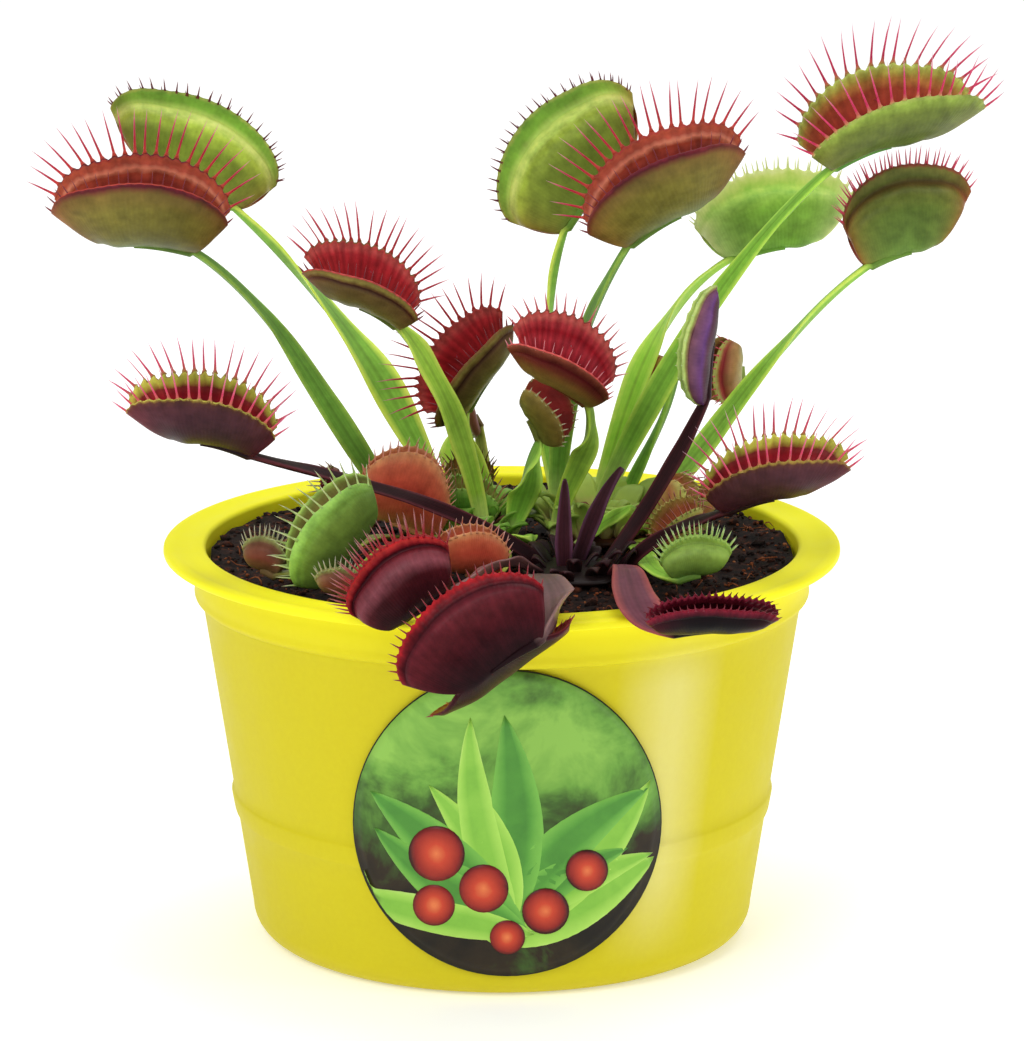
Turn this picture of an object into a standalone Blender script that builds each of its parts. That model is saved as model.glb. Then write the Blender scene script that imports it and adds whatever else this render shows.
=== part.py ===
"""Venus flytraps in a round plastic nursery pot.

A turned pot holds a plug of peat.  Three crowns grow in it: two of the green
form and one of the dark purple form.  Each leaf is one solid: a flat winged
stalk that runs on as the midrib of a trap with two curved lobes.
"""
import math

import bmesh
import bpy
from mathutils import Vector

MM = 0.001
SHARP = math.radians(45)    # edges bent more than this are shaded as corners

# Pot, in millimetres.
RIM_RADIUS = 60.0           # outer edge of the flat rim
RIM_INNER_RADIUS = 52.5     # mouth of the pot
POT_HEIGHT = 71.0
RIM_THICK = 1.5
RIM_ROUND = 0.6             # rounding of the rim's edge
COLLAR_RADIUS = 54.6        # short collar under the rim
COLLAR_FOOT = 62.5
WALL_TOP_RADIUS = 53.19     # tapered wall, under the collar
WALL_TOP = 61.4
WALL_FOOT_RADIUS = 44.7
WALL_FOOT = 5.5
FOOT_RADIUS = 39.5          # flat underside
BAND_TOP = 26.4             # raised stacking band round the wall
BAND_FOOT = 22.9
BAND_PROUD = 0.5
WALL = 1.2
POT_STEPS = 48
DRAIN_HOLES = 6
DRAIN_RADIUS = 3.0
DRAIN_RING = 31.0

# Peat and the label.
CLEARANCE = 0.3
PEAT_TOP = 68.5
PEAT_EDGE_DROP = 1.2
LABEL_RADIUS = 26.2
LABEL_MIDDLE = (1.0, 33.0)      # x and z of the round label on the front
LABEL_TILT = 13.45              # it looks round from this many degrees above
LABEL_TALL = 1.01
LABEL_THICK = 0.4
LABEL_STRIP = 5.0               # width of the strips that bend round the wall

# Crowns: the short thick stems that the leaves grow from.
CROWN_HEIGHT = 1.5
CROWN_RADIUS = 10.0
CROWNS = {
    "left": (-8.0, 8.0),
    "right": (17.0, 10.0),
    "dark": (13.0, -18.0),
}

# Stalks and traps.
STALK_SIDES = 6
STALK_RINGS = 8
KEEL_RINGS = 2
STALK_THICK = 1.3
ROOT_WIDTH = 2.6
NECK_WIDTH = 1.8
TAPER = 0.6                 # how fast a stalk narrows past its broadest place
ROOT_LEAN = 0.4             # how far a stalk leans out from its crown
ROOT_PULL = 0.35            # reach of the curve's handles, as shares of its chord
NECK_PULL = 0.3
KEEL_RUN = 1.3              # how far the keel runs along the midrib, half lengths
KEEL_TIP = 0.8
LOBE_THICK = 0.9
HINGE = (0.31, 0.25)        # usual half length of the hinge at its two ends, shares of the trap's
BOW = 0.65                  # how the lobe's ends bow out
END_WIDTH = 0.45            # usual lobe width at the ends, as a share of the middle
ARCH = 0.04                 # usual rise of the midrib, as a share of the length
TIP = 0.05                  # how far the lobes' far end turns up, as a share of the length
BEND = 0.6                  # how far a stalk usually turns to its trap at the neck
LOW_NECK = 80.0             # a stalk whose neck lies lower keeps its flat side up
LOW_FLAT = (0, 0, 1)
TALL_FLAT = (0, -0.8, 0.6)
RISE = 0.25                 # how far a stalk usually stands up at its root
CLOSED_ANGLES = (46.0, -38.0)   # lobe's slope from the mouth's axis: hinge, margin
OPEN_ANGLES = (68.0, 6.0)
LOBE_STEPS = (6, 5)         # faces across both lobes, and along them

# Every leaf: the crown and the place of its root on it, the neck where stalk
# and trap meet, the way the midrib runs, the way the mouth faces, and the
# trap's length, lobe width and opening (0 shut, 1 wide).  "broad" is the
# stalk's greatest width and "broad_at" where it lies, from root to neck.
# Where they differ from the usual, "rise" and "bend" set the stalk's two ends,
# "arch" the curve of the midrib, "hinge" and "ends" the lobes' outline, and
# "skew" how far their margin is shifted along.
LEAVES = {
    # tall leaves of the green plants
    "tall_rear_left_leaf": dict(
        crown="left", root=(-1, 6), neck=(-48, 30, 125.5), along=(-0.9, 0.05, 0.36),
        face=(0.45, 0.4, 0.9), trap=(33, 16.2, 0.1), broad=8, broad_at=0.5, rise=0.9,
        skew=0.03),
    "tall_front_left_leaf": dict(
        crown="left", root=(-7, 2), neck=(-54, 6, 122), along=(-1, 0, 0.02),
        face=(0, -0.15, 1), trap=(31, 17, 0.8), broad=5, broad_at=0.4, arch=0.04),
    "tall_rear_middle_leaf": dict(
        crown="right", root=(-6, 6), neck=(11, 26, 122), along=(0.72, 0.05, 0.69),
        face=(-0.69, 0.35, 0.72), trap=(32, 19.5, 0.1), broad=5.5, broad_at=0.5),
    "tall_front_middle_leaf": dict(
        crown="right", root=(-7, 1), neck=(22, 6, 123), along=(0.9, 0, 0.42),
        face=(-0.42, -0.13, 0.9), trap=(31, 16.5, 0.88), broad=5, broad_at=0.5, rise=0.5,
        skew=0.03),
    "pale_right_leaf": dict(
        crown="right", root=(-1, 6), neck=(41, 26, 117), along=(0.97, 0.1, 0.1),
        face=(-0.15, 0.3, 0.95), trap=(29, 15, 0.1), broad=6.5, broad_at=0.75, rise=0.5, bend=1.5),
    "tall_right_leaf": dict(
        crown="right", root=(-2, -1), neck=(58, 8, 136.5), along=(0.92, 0.3, 0.16),
        face=(-0.2, -0.3, 0.9), trap=(33, 14.8, 0.9), broad=5, broad_at=0.4, arch=0.06,
        ends=0.38, skew=0.05),
    "far_right_leaf": dict(
        crown="right", root=(4, -2), neck=(65, 14, 118), along=(0.96, 0.1, 0.2),
        face=(-0.2, 0.2, 0.95), trap=(23.5, 16.5, 0.15), broad=5, broad_at=0.4, rise=0,
        ends=0.5, skew=0.08),
    # red traps in the middle
    "red_left_leaf": dict(
        crown="left", root=(5, -4), neck=(-18, -4, 110.5), along=(-0.92, -0.1, 0.36),
        face=(0.3, -0.36, 0.85), trap=(22, 11.2, 0.85), broad=6.5, broad_at=0.85, arch=0.06,
        skew=0.1),
    "red_rear_leaf": dict(
        crown="left", root=(6, 3), neck=(-6.6, 12, 91.6), along=(0.62, 0, 0.78),
        face=(-0.66, -0.45, 0.49), trap=(23, 12, 0.8), broad=4.5, broad_at=0.6),
    "red_middle_leaf": dict(
        crown="right", root=(-7, -4), neck=(15.2, -6, 97), along=(-0.88, 0, 0.42),
        face=(0.36, -0.4, 0.8), trap=(20, 13, 0.85), broad=4.5, broad_at=0.75, rise=0.5,
        skew=0.08),
    "small_olive_leaf": dict(
        crown="left", root=(9, -2), neck=(7, -1, 89.5), along=(-0.55, 0, 0.8),
        face=(0.68, -0.25, 0.5), trap=(12, 8.5, 0.95), broad=9, broad_at=0.82, rise=0.6, bend=-0.2),
    "olive_bud_leaf": dict(
        crown="left", root=(5, 7.5), neck=(-4.2, 24.5, 86), along=(-0.25, 0, 1),
        face=(-0.5, -0.8, 0), trap=(7, 4.5, 0.3), broad=2.8, broad_at=0.5),
    "pale_blade": dict(
        crown="left", root=(2, 8.5), neck=(-9, 24, 85), along=(-0.3, 0, 1),
        face=(0, -1, 0), trap=None, broad=6.5, broad_at=0.8),
    "small_right_leaf": dict(
        crown="right", root=(6, 4), neck=(43, 18, 94.5), along=(0.05, 0, 1),
        face=(-0.8, -0.5, 0.1), trap=(12, 9, 0.7), broad=3.5, broad_at=0.5),
    "small_rear_leaf": dict(
        crown="right", root=(3, 7), neck=(31, 26, 94.5), along=(-0.1, 0, 1),
        face=(-0.9, 0, 0.1), trap=(6, 4.5, 0.3), broad=2.5, broad_at=0.5),
    # low leaves round the green plants
    "low_green_left_leaf": dict(
        crown="left", root=(-5, -8), neck=(-29, -30, 71.2), along=(0.62, 0, 0.78),
        face=(-0.8, -0.15, 0.55), trap=(22, 12, 0.55), broad=5, broad_at=0.5, rise=0.8),
    "purple_bud_leaf": dict(
        crown="left", root=(-6, 5), neck=(-29.5, 10, 77), along=(0.1, 0, 1),
        face=(-0.6, -0.8, 0), trap=(7, 5, 0.5), broad=2.5, broad_at=0.5, rise=0.5),
    "orange_left_leaf": dict(
        crown="left", root=(-5, -3), neck=(-12, -5, 72.8), along=(-0.8, 0, 0.25),
        face=(-0.25, 0.1, 0.95), trap=(17, 15, 0.5), broad=4, broad_at=0.5, rise=0.5,
        hinge=(0.42, 0.38), ends=0.25),
    "orange_low_leaf": dict(
        crown="left", root=(6, -7), neck=(-2, -24.6, 70.7), along=(-0.8, -0.3, 0.1),
        face=(0.1, -0.1, 1), trap=(13, 9, 0.3), broad=4, broad_at=0.5, rise=0.5),
    "brown_edge_leaf": dict(
        crown="left", root=(-9, -3), neck=(-39, -26.5, 71.4), along=(-0.9, 0.4, 0.1),
        face=(0.2, 0.1, 1), trap=(8.5, 6.5, 0.2), broad=3.5, broad_at=0.5, rise=0.5),
    "brown_front_leaf": dict(
        crown="left", root=(-1, -9), neck=(-25, -38, 70.2), along=(-0.95, -0.05, 0.1),
        face=(0.1, 0.1, 1), trap=(9, 5, 0.2), broad=3.5, broad_at=0.5, rise=0.5),
    "green_comb_leaf": dict(
        crown="left", root=(4, 1), neck=(-3, 8, 72.8), along=(-0.95, 0, 0.1),
        face=(0, -0.3, 1), trap=(12, 8, 0.5), broad=4, broad_at=0.5, rise=0.5),
    "brown_comb_leaf": dict(
        crown="left", root=(8, 4), neck=(-3, 17.5, 77), along=(-1, 0, 0),
        face=(0, -0.4, 1), trap=(9, 5.5, 0.5), broad=3, broad_at=0.5, rise=0.5),
    "front_blade": dict(
        crown="left", root=(7.5, -5), neck=(5.5, -7.5, 73.4), along=(0.3, -0.8, 0.3),
        face=(0, 0.3, 1), trap=None, broad=6, broad_at=0.6),
    "right_blade": dict(
        crown="right", root=(-3, -8), neck=(23, -12, 80), along=(1, 0, 0.6),
        face=(-0.3, -0.6, 0.8), trap=None, broad=4, broad_at=0.6),
    "yellow_right_leaf": dict(
        crown="right", root=(9.4, -1), neck=(26, 5.4, 73), along=(0.1, -0.2, 0.9),
        face=(0.9, -0.3, 0.2), trap=(12.5, 9, 0.6), broad=4, broad_at=0.5, rise=0.5),
    "pink_right_leaf": dict(
        crown="right", root=(7.0, -6.4), neck=(29.8, -4, 71.5), along=(0.7, 0.1, 0.5),
        face=(-0.2, -0.5, 0.8), trap=(10, 7, 0.5), broad=3, broad_at=0.5, rise=0.5),
    "fresh_right_leaf": dict(
        crown="right", root=(5.5, -8), neck=(30, -29, 71.2), along=(1, 0, 0.1),
        face=(0, 0.1, 1), trap=(12.5, 7.5, 0.3), broad=4, broad_at=0.5, rise=0.2),
    "pink_rear_leaf": dict(
        crown="right", root=(8, 3), neck=(35.5, 12, 70.5), along=(0.5, 0, 0.6),
        face=(-0.6, -0.4, 0.6), trap=(9, 6, 0.6), broad=3, broad_at=0.5, rise=0.5),
    # the dark plant in front
    "dark_left_leaf": dict(
        crown="dark", root=(-5, 3), neck=(-43, -24, 92), along=(-0.98, 0, 0.13),
        face=(0.1, -0.15, 1), trap=(26, 12.5, 0.88), broad=5, broad_at=0.8, rise=0.5, bend=0.4, arch=0.05,
        skew=0.05),
    "dark_right_leaf": dict(
        crown="dark", root=(8, 1), neck=(38.5, -22, 81.5), along=(0.98, 0, 0.15),
        face=(-0.2, -0.15, 1), trap=(25.5, 11.2, 0.95), broad=4.5, broad_at=0.8, rise=1.0, arch=0.05,
        skew=0.08),
    "dark_upright_leaf": dict(
        crown="dark", root=(5, 3), neck=(35.3, -14, 99.2), along=(0.16, 0, 1),
        face=(-0.8, -0.6, 0), trap=(21.5, 7.2, 0.1), broad=3.8, broad_at=0.8, rise=0.1,
        hinge=(0.4, 0.34), ends=0.35, skew=0.03),
    "dark_front_left_leaf": dict(
        crown="dark", root=(-6, -2), neck=(-9, -58.6, 76.4), along=(-0.75, -0.05, -0.6),
        face=(-0.45, 0.1, 0.85), trap=(20, 13, 0.1), broad=5, broad_at=0.5, rise=0.5,
        ends=0.5, skew=-0.06),
    "dark_front_leaf": dict(
        crown="dark", root=(-6, -7), neck=(6.5, -77, 73), along=(-0.8, -0.05, -0.6),
        face=(-0.29, 0.87, 0.39), trap=(28.5, 15.3, 1.2), broad=8, broad_at=0.75, rise=0.5),
    "dark_side_leaf": dict(
        crown="dark", root=(6, -4), neck=(28, -66, 71.2), along=(1, 0.05, -0.02),
        face=(0, -0.6, 0.8), trap=(22, 8, 0.25), broad=7.5, broad_at=0.7, rise=0.9),
    "dark_spike": dict(
        crown="dark", root=(-2, 0), neck=(11, -17, 86), along=(0, 0, 1),
        face=(0, -1, 0), trap=None, broad=3.2, broad_at=0.3),
    "dark_strap": dict(
        crown="dark", root=(0, 4), neck=(21, -12, 87), along=(1, 0, 0.6),
        face=(0, -0.6, 0.8), trap=None, broad=3.2, broad_at=0.5),
}

PLASTIC = ((0.88, 0.80, 0.03), 0.3)
PEAT = ((0.05, 0.03, 0.02), 0.95)
PRINT = ((0.25, 0.38, 0.10), 0.5)
STEM = ((0.45, 0.52, 0.18), 0.6)
LEAF_GREEN = ((0.28, 0.45, 0.08), 0.45)
LEAF_DARK = ((0.12, 0.02, 0.05), 0.4)


def clear_scene():
    """Remove whatever the file holds."""
    for item in list(bpy.data.objects):
        bpy.data.objects.remove(item, do_unlink=True)


def new_collection(name):
    """Make a collection and put it in the scene."""
    collection = bpy.data.collections.new(name)
    bpy.context.scene.collection.children.link(collection)
    return collection


def material(name, finish):
    """Make a plain Principled material from a colour and a roughness."""
    colour, roughness = finish
    made = bpy.data.materials.new(name)
    made.use_nodes = True
    shader = made.node_tree.nodes["Principled BSDF"]
    shader.inputs["Base Color"].default_value = (*colour, 1.0)
    shader.inputs["Roughness"].default_value = roughness
    shader.inputs["Metallic"].default_value = 0.0
    return made


def mesh_object(name, bm, collection, finish=None):
    """Turn a bmesh in millimetres into an object in metres."""
    bmesh.ops.scale(bm, vec=(MM, MM, MM), verts=bm.verts)
    mesh = bpy.data.meshes.new(name)
    bm.to_mesh(mesh)
    bm.free()
    made = bpy.data.objects.new(name, mesh)
    collection.objects.link(made)
    if finish:
        mesh.materials.append(material(name, finish))
        mesh.shade_smooth()
        mesh.set_sharp_from_angle(angle=SHARP)
    return made


def as_cutter(item):
    """Hide an object that only serves a Boolean."""
    item.hide_render = True
    item.display_type = "WIRE"
    return item


def join(target, other, operation):
    """Add a Boolean modifier to the target."""
    boolean = target.modifiers.new(operation.title(), "BOOLEAN")
    boolean.operation = operation
    boolean.object = other
    boolean.solver = "EXACT"
    return boolean


def turned(name, profile, collection, finish):
    """Turn a profile of (radius, height) points round the Z axis."""
    bm = bmesh.new()
    points = [bm.verts.new((radius, 0, height)) for radius, height in profile]
    for first, second in zip(points, points[1:]):
        bm.edges.new((first, second))
    made = mesh_object(name, bm, collection, finish)
    screw = made.modifiers.new("Turn", "SCREW")
    screw.steps = POT_STEPS
    screw.render_steps = POT_STEPS
    screw.use_merge_vertices = True
    screw.merge_threshold = 0.00005
    screw.use_smooth_shade = True
    return made


def wall_radius(height):
    """Outer radius of the tapered wall at a height."""
    share = (height - WALL_FOOT) / (WALL_TOP - WALL_FOOT)
    return WALL_FOOT_RADIUS + share * (WALL_TOP_RADIUS - WALL_FOOT_RADIUS)


def arc(centre, radii, start, end, steps):
    """Points on an ellipse from one angle to another, in degrees."""
    points = []
    for step in range(steps + 1):
        angle = math.radians(start + (end - start) * step / steps)
        points.append((centre[0] + radii[0] * math.cos(angle),
                       centre[1] + radii[1] * math.sin(angle)))
    return points


def pot_profile():
    """Outline of the pot's wall: inner floor, inner side, rim, outer side, underside."""
    foot_round = (WALL_FOOT_RADIUS - FOOT_RADIUS, WALL_FOOT)
    inner_top = wall_radius(WALL_TOP) - WALL
    inner_foot = wall_radius(WALL_FOOT) - WALL
    profile = [(0, WALL), (FOOT_RADIUS, WALL), (inner_foot, WALL_FOOT), (inner_top, WALL_TOP)]
    rim_foot = POT_HEIGHT - RIM_THICK
    profile.append((RIM_INNER_RADIUS, COLLAR_FOOT + WALL))
    profile.append((RIM_INNER_RADIUS, POT_HEIGHT - RIM_ROUND))
    profile.append((RIM_INNER_RADIUS + RIM_ROUND, POT_HEIGHT))
    edge = (RIM_RADIUS - RIM_ROUND, POT_HEIGHT - RIM_ROUND)
    profile += arc(edge, (RIM_ROUND, RIM_ROUND), 90, 0, 2)
    profile.append((RIM_RADIUS, rim_foot))
    profile.append((COLLAR_RADIUS + RIM_ROUND, rim_foot))
    profile.append((COLLAR_RADIUS, rim_foot - RIM_ROUND))
    drop = (COLLAR_RADIUS - WALL_TOP_RADIUS, COLLAR_FOOT - WALL_TOP)
    profile += arc((WALL_TOP_RADIUS, COLLAR_FOOT), drop, 0, -90, 3)
    profile.append((wall_radius(BAND_TOP + BAND_PROUD), BAND_TOP + BAND_PROUD))
    profile.append((wall_radius(BAND_TOP) + BAND_PROUD, BAND_TOP))
    profile.append((wall_radius(BAND_FOOT) + BAND_PROUD, BAND_FOOT))
    profile.append((wall_radius(BAND_FOOT - BAND_PROUD), BAND_FOOT - BAND_PROUD))
    profile += arc((FOOT_RADIUS, WALL_FOOT), foot_round, 0, -90, 5)
    profile.append((0, 0))
    return profile


def make_pot(parts, cutters):
    """Turn the pot and drill its drain holes."""
    pot = turned("pot", pot_profile(), parts, PLASTIC)
    bm = bmesh.new()
    for hole in range(DRAIN_HOLES):
        angle = math.tau * hole / DRAIN_HOLES
        made = bmesh.ops.create_cone(bm, cap_ends=True, segments=12, radius1=DRAIN_RADIUS,
                                     radius2=DRAIN_RADIUS, depth=4 * WALL)
        place = (DRAIN_RING * math.cos(angle), DRAIN_RING * math.sin(angle), WALL / 2)
        bmesh.ops.translate(bm, verts=made["verts"], vec=place)
    drill = as_cutter(mesh_object("drain_drill", bm, cutters))
    join(pot, drill, "DIFFERENCE")
    return pot


def make_peat(parts):
    """Turn the plug of peat that fills the pot."""
    foot = WALL + CLEARANCE
    top_radius = RIM_INNER_RADIUS - WALL
    profile = [(0, PEAT_TOP), (0.45 * top_radius, PEAT_TOP), (0.9 * top_radius, PEAT_TOP)]
    profile.append((top_radius, PEAT_TOP - PEAT_EDGE_DROP))
    profile.append((wall_radius(WALL_TOP) - WALL - 2 * CLEARANCE, WALL_TOP - 1))
    profile.append((wall_radius(WALL_FOOT) - WALL - 2 * CLEARANCE, WALL_FOOT + CLEARANCE))
    profile.append((FOOT_RADIUS - 2 * CLEARANCE, foot))
    profile.append((0, foot))
    return turned("peat", profile, parts, PEAT)


def make_label(parts):
    """Wrap a thin label, round as it is seen from the front, onto the tapered wall."""
    aside, middle = LABEL_MIDDLE
    tilt = math.radians(LABEL_TILT)
    base = middle * math.cos(tilt) - wall_radius(middle) * math.sin(tilt)
    bm = bmesh.new()
    bmesh.ops.create_circle(bm, cap_ends=True, segments=36, radius=LABEL_RADIUS)
    strips = int(2 * LABEL_RADIUS / LABEL_STRIP)
    for strip in range(1, strips):
        cut = -LABEL_RADIUS + strip * 2 * LABEL_RADIUS / strips
        geometry = bm.verts[:] + bm.edges[:] + bm.faces[:]
        bmesh.ops.bisect_plane(bm, geom=geometry, plane_co=(cut, 0, 0), plane_no=(1, 0, 0))
    for vert in bm.verts:
        height = middle + vert.co.y
        for step in range(5):
            radius = wall_radius(height) + BAND_PROUD + CLEARANCE
            depth = math.sqrt(radius ** 2 - (aside + vert.co.x) ** 2)
            height = (vert.co.y * LABEL_TALL + base + depth * math.sin(tilt)) / math.cos(tilt)
        vert.co = (aside + vert.co.x, -depth, height)
    label = mesh_object("round_label", bm, parts, PRINT)
    shell = label.modifiers.new("Thickness", "SOLIDIFY")
    shell.thickness = LABEL_THICK * MM
    shell.offset = 1.0
    return label


def make_crown(name, centre, parts, finish):
    """A low round stem that stands on the peat."""
    bm = bmesh.new()
    bmesh.ops.create_cone(bm, cap_ends=True, segments=24, radius1=CROWN_RADIUS,
                          radius2=CROWN_RADIUS - 1.0, depth=CROWN_HEIGHT)
    middle = PEAT_TOP + CLEARANCE + CROWN_HEIGHT / 2
    bmesh.ops.translate(bm, verts=bm.verts, vec=(centre[0], centre[1], middle))
    return mesh_object(name, bm, parts, finish)


def bezier(points, share):
    """Point on a cubic curve."""
    back = 1.0 - share
    weights = (back ** 3, 3 * back ** 2 * share, 3 * back * share ** 2, share ** 3)
    return sum((weight * point for weight, point in zip(weights, points)), Vector())


def smooth(share):
    """Ease from 0 to 1."""
    share = min(max(share, 0.0), 1.0)
    return share * share * (3 - 2 * share)


class Trap:
    """Places points on the two lobes of a trap."""

    def __init__(self, leaf):
        self.neck = Vector(leaf["neck"])
        self.along = Vector(leaf["along"]).normalized()
        face = Vector(leaf["face"])
        self.face = (face - self.along * face.dot(self.along)).normalized()
        self.side = self.along.cross(self.face)
        self.length, self.width, self.opening = leaf["trap"] or (0, 0, 0)
        self.arch = leaf.get("arch", ARCH) * self.length
        self.hinge = leaf.get("hinge", HINGE)
        self.ends = leaf.get("ends", END_WIDTH)
        self.skew = leaf.get("skew", 0.0)

    def section(self, share):
        """Offsets to the side and towards the mouth, as shares of the lobe's width."""
        ends = [shut + (wide - shut) * self.opening for shut, wide in zip(CLOSED_ANGLES, OPEN_ANGLES)]
        first, last = (math.radians(end) for end in ends)
        angle = first + (last - first) * share
        side = (math.cos(first) - math.cos(angle)) / (last - first)
        rise = (math.sin(angle) - math.sin(first)) / (last - first)
        return side, rise

    def point(self, length_share, width_share):
        """length_share and width_share both run from -1 to 1."""
        share = abs(width_share)
        start, end = self.hinge
        hinge = (start + end) / 2 + (end - start) / 2 * length_share
        half = self.length * (hinge + (0.5 - hinge) * share ** BOW)
        bulge = math.sqrt(max(0.0, 1 - length_share ** 2))
        width = self.width * (self.ends + (1 - self.ends) * bulge)
        side, rise = self.section(share)
        forward = self.length * (start + self.skew * share) + length_share * half
        lift = rise * width + self.arch * (1 - length_share ** 2)
        lift += self.length * TIP * smooth((length_share - 0.3) / 0.7) ** 1.5
        sideways = math.copysign(side * width, width_share)
        return self.neck + self.along * forward + self.face * lift + self.side * sideways


def stalk_rings(leaf, trap):
    """Centre, tangent, flat side, width and thickness of each ring of a stalk."""
    crown = CROWNS[leaf["crown"]]
    foot = PEAT_TOP + 2 * CLEARANCE + CROWN_HEIGHT
    root = Vector((crown[0] + leaf["root"][0], crown[1] + leaf["root"][1], foot))
    reach = (trap.neck - root).length
    chord = (trap.neck - root).normalized()
    outward = Vector((*leaf["root"], 0)) / CROWN_RADIUS
    start = (chord + outward * ROOT_LEAN + Vector((0, 0, leaf.get("rise", RISE)))).normalized()
    finish = (chord + trap.along * leaf.get("bend", BEND)).normalized()
    curve = [root, root + start * reach * ROOT_PULL, trap.neck - finish * reach * NECK_PULL,
             trap.neck]
    rings = []
    for step in range(STALK_RINGS):
        share = step / (STALK_RINGS - 1)
        tangent = bezier(curve, min(1, share + 0.01)) - bezier(curve, max(0, share - 0.01))
        flat = Vector(LOW_FLAT if trap.neck.z < LOW_NECK else TALL_FLAT).lerp(trap.face, smooth(share))
        if share < leaf["broad_at"]:
            width = ROOT_WIDTH + (leaf["broad"] - ROOT_WIDTH) * smooth(share / leaf["broad_at"])
        else:
            past = (1 - share) / (1 - leaf["broad_at"])
            width = NECK_WIDTH + (leaf["broad"] - NECK_WIDTH) * past ** TAPER
        rings.append((bezier(curve, share), tangent, flat, width, STALK_THICK))
    for step in range(1, KEEL_RINGS + 1):
        if not trap.length:
            break
        share = step / KEEL_RINGS
        place = trap.point(-1 + KEEL_RUN * share, 0)
        width = NECK_WIDTH + (KEEL_TIP - NECK_WIDTH) * share
        rings.append((place, trap.along, trap.face, width, width))
    return rings


def make_stalk(name, rings, collection, finish):
    """Skin the rings as a flat stalk with a low keel, and cap its ends."""
    bm = bmesh.new()
    last = len(rings) - 1
    bmesh.ops.create_grid(bm, x_segments=STALK_SIDES, y_segments=last, size=1)
    for vert in bm.verts:
        turn = round((vert.co.x + 1) / 2 * STALK_SIDES) / STALK_SIDES * math.tau
        ring = round((vert.co.y + 1) / 2 * last)
        centre, tangent, flat, width, thick = rings[ring]
        tangent = tangent.normalized() if ring else Vector((0, 0, 1))
        across = tangent.cross(flat).normalized()
        up = across.cross(tangent)
        vert.co = centre + across * math.cos(turn) * width / 2 + up * math.sin(turn) * thick / 2
    bmesh.ops.remove_doubles(bm, verts=bm.verts, dist=0.0001)
    bmesh.ops.holes_fill(bm, edges=[edge for edge in bm.edges if edge.is_boundary], sides=0)
    bmesh.ops.recalc_face_normals(bm, faces=bm.faces)
    return mesh_object(name, bm, collection, finish)


def make_lobes(name, trap, collection):
    """The two lobes of a trap as one sheet with a wall."""
    bm = bmesh.new()
    bmesh.ops.create_grid(bm, x_segments=LOBE_STEPS[0], y_segments=LOBE_STEPS[1], size=1)
    for vert in bm.verts:
        vert.co = trap.point(math.sin(vert.co.y * math.pi / 2), vert.co.x)
    lobes = mesh_object(name, bm, collection)
    shell = lobes.modifiers.new("Thickness", "SOLIDIFY")
    shell.thickness = LOBE_THICK * MM
    shell.offset = 0.0
    return as_cutter(lobes)


def make_leaf(name, leaf, parts, cutters):
    """A stalk joined with its trap."""
    trap = Trap(leaf)
    finish = LEAF_DARK if leaf["crown"] == "dark" else LEAF_GREEN
    stalk = make_stalk(name, stalk_rings(leaf, trap), parts, finish)
    if trap.length:
        lobes = make_lobes(name + "_lobes", trap, cutters)
        join(stalk, lobes, "UNION")
    return stalk


def main():
    clear_scene()
    parts = new_collection("potted_flytraps")
    cutters = new_collection("cutters")
    make_pot(parts, cutters)
    make_peat(parts)
    make_label(parts)
    for side, centre in CROWNS.items():
        make_crown(side + "_crown", centre, parts, STEM)
    for name, leaf in LEAVES.items():
        make_leaf(name, leaf, parts, cutters)


main()
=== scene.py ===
import math
import random

import bmesh
import bpy
from mathutils import Matrix, Vector, noise


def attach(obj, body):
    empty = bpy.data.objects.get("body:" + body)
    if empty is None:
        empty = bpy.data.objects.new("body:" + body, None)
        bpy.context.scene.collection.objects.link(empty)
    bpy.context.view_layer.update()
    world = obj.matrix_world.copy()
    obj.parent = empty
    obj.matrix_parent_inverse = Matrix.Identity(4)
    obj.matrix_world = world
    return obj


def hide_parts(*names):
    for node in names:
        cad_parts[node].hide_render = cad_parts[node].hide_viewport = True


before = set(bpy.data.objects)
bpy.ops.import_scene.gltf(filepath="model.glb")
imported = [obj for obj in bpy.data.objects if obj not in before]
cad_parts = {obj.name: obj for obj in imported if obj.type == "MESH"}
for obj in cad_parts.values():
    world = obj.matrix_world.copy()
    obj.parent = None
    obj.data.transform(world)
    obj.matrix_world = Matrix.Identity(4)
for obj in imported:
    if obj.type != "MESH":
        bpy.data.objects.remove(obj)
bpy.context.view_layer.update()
mm = 0.001


def smooth(share):
    # 0 to 1 with a soft start and end
    share = min(max(share, 0.0), 1.0)
    return share * share * (3 - 2 * share)


def ease(share, rise):
    # as smooth, over a rise given as its start and its run
    start, run = rise
    return smooth((share - start) / run)


def bell(share, middle, spread):
    return math.exp(-((share - middle) / spread) ** 2)


def between(pairs, share):
    # value at a share, from rising (place, value) pairs
    if share <= pairs[0][0]:
        return pairs[0][1]
    for (low, first), (high, second) in zip(pairs, pairs[1:]):
        if share <= high:
            return first + (second - first) * (share - low) / (high - low)
    return pairs[-1][1]


def arc(centre, radii, start, end, steps):
    angles = [math.radians(start + (end - start) * step / steps) for step in range(steps + 1)]
    return [(centre[0] + radii[0] * math.cos(a), centre[1] + radii[1] * math.sin(a)) for a in angles]


def eitherWay(rng, amount):
    return rng.uniform(-amount, amount)


def newMesh():
    bm = bmesh.new()
    bm.loops.layers.uv.new("leaf")
    return bm


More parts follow.
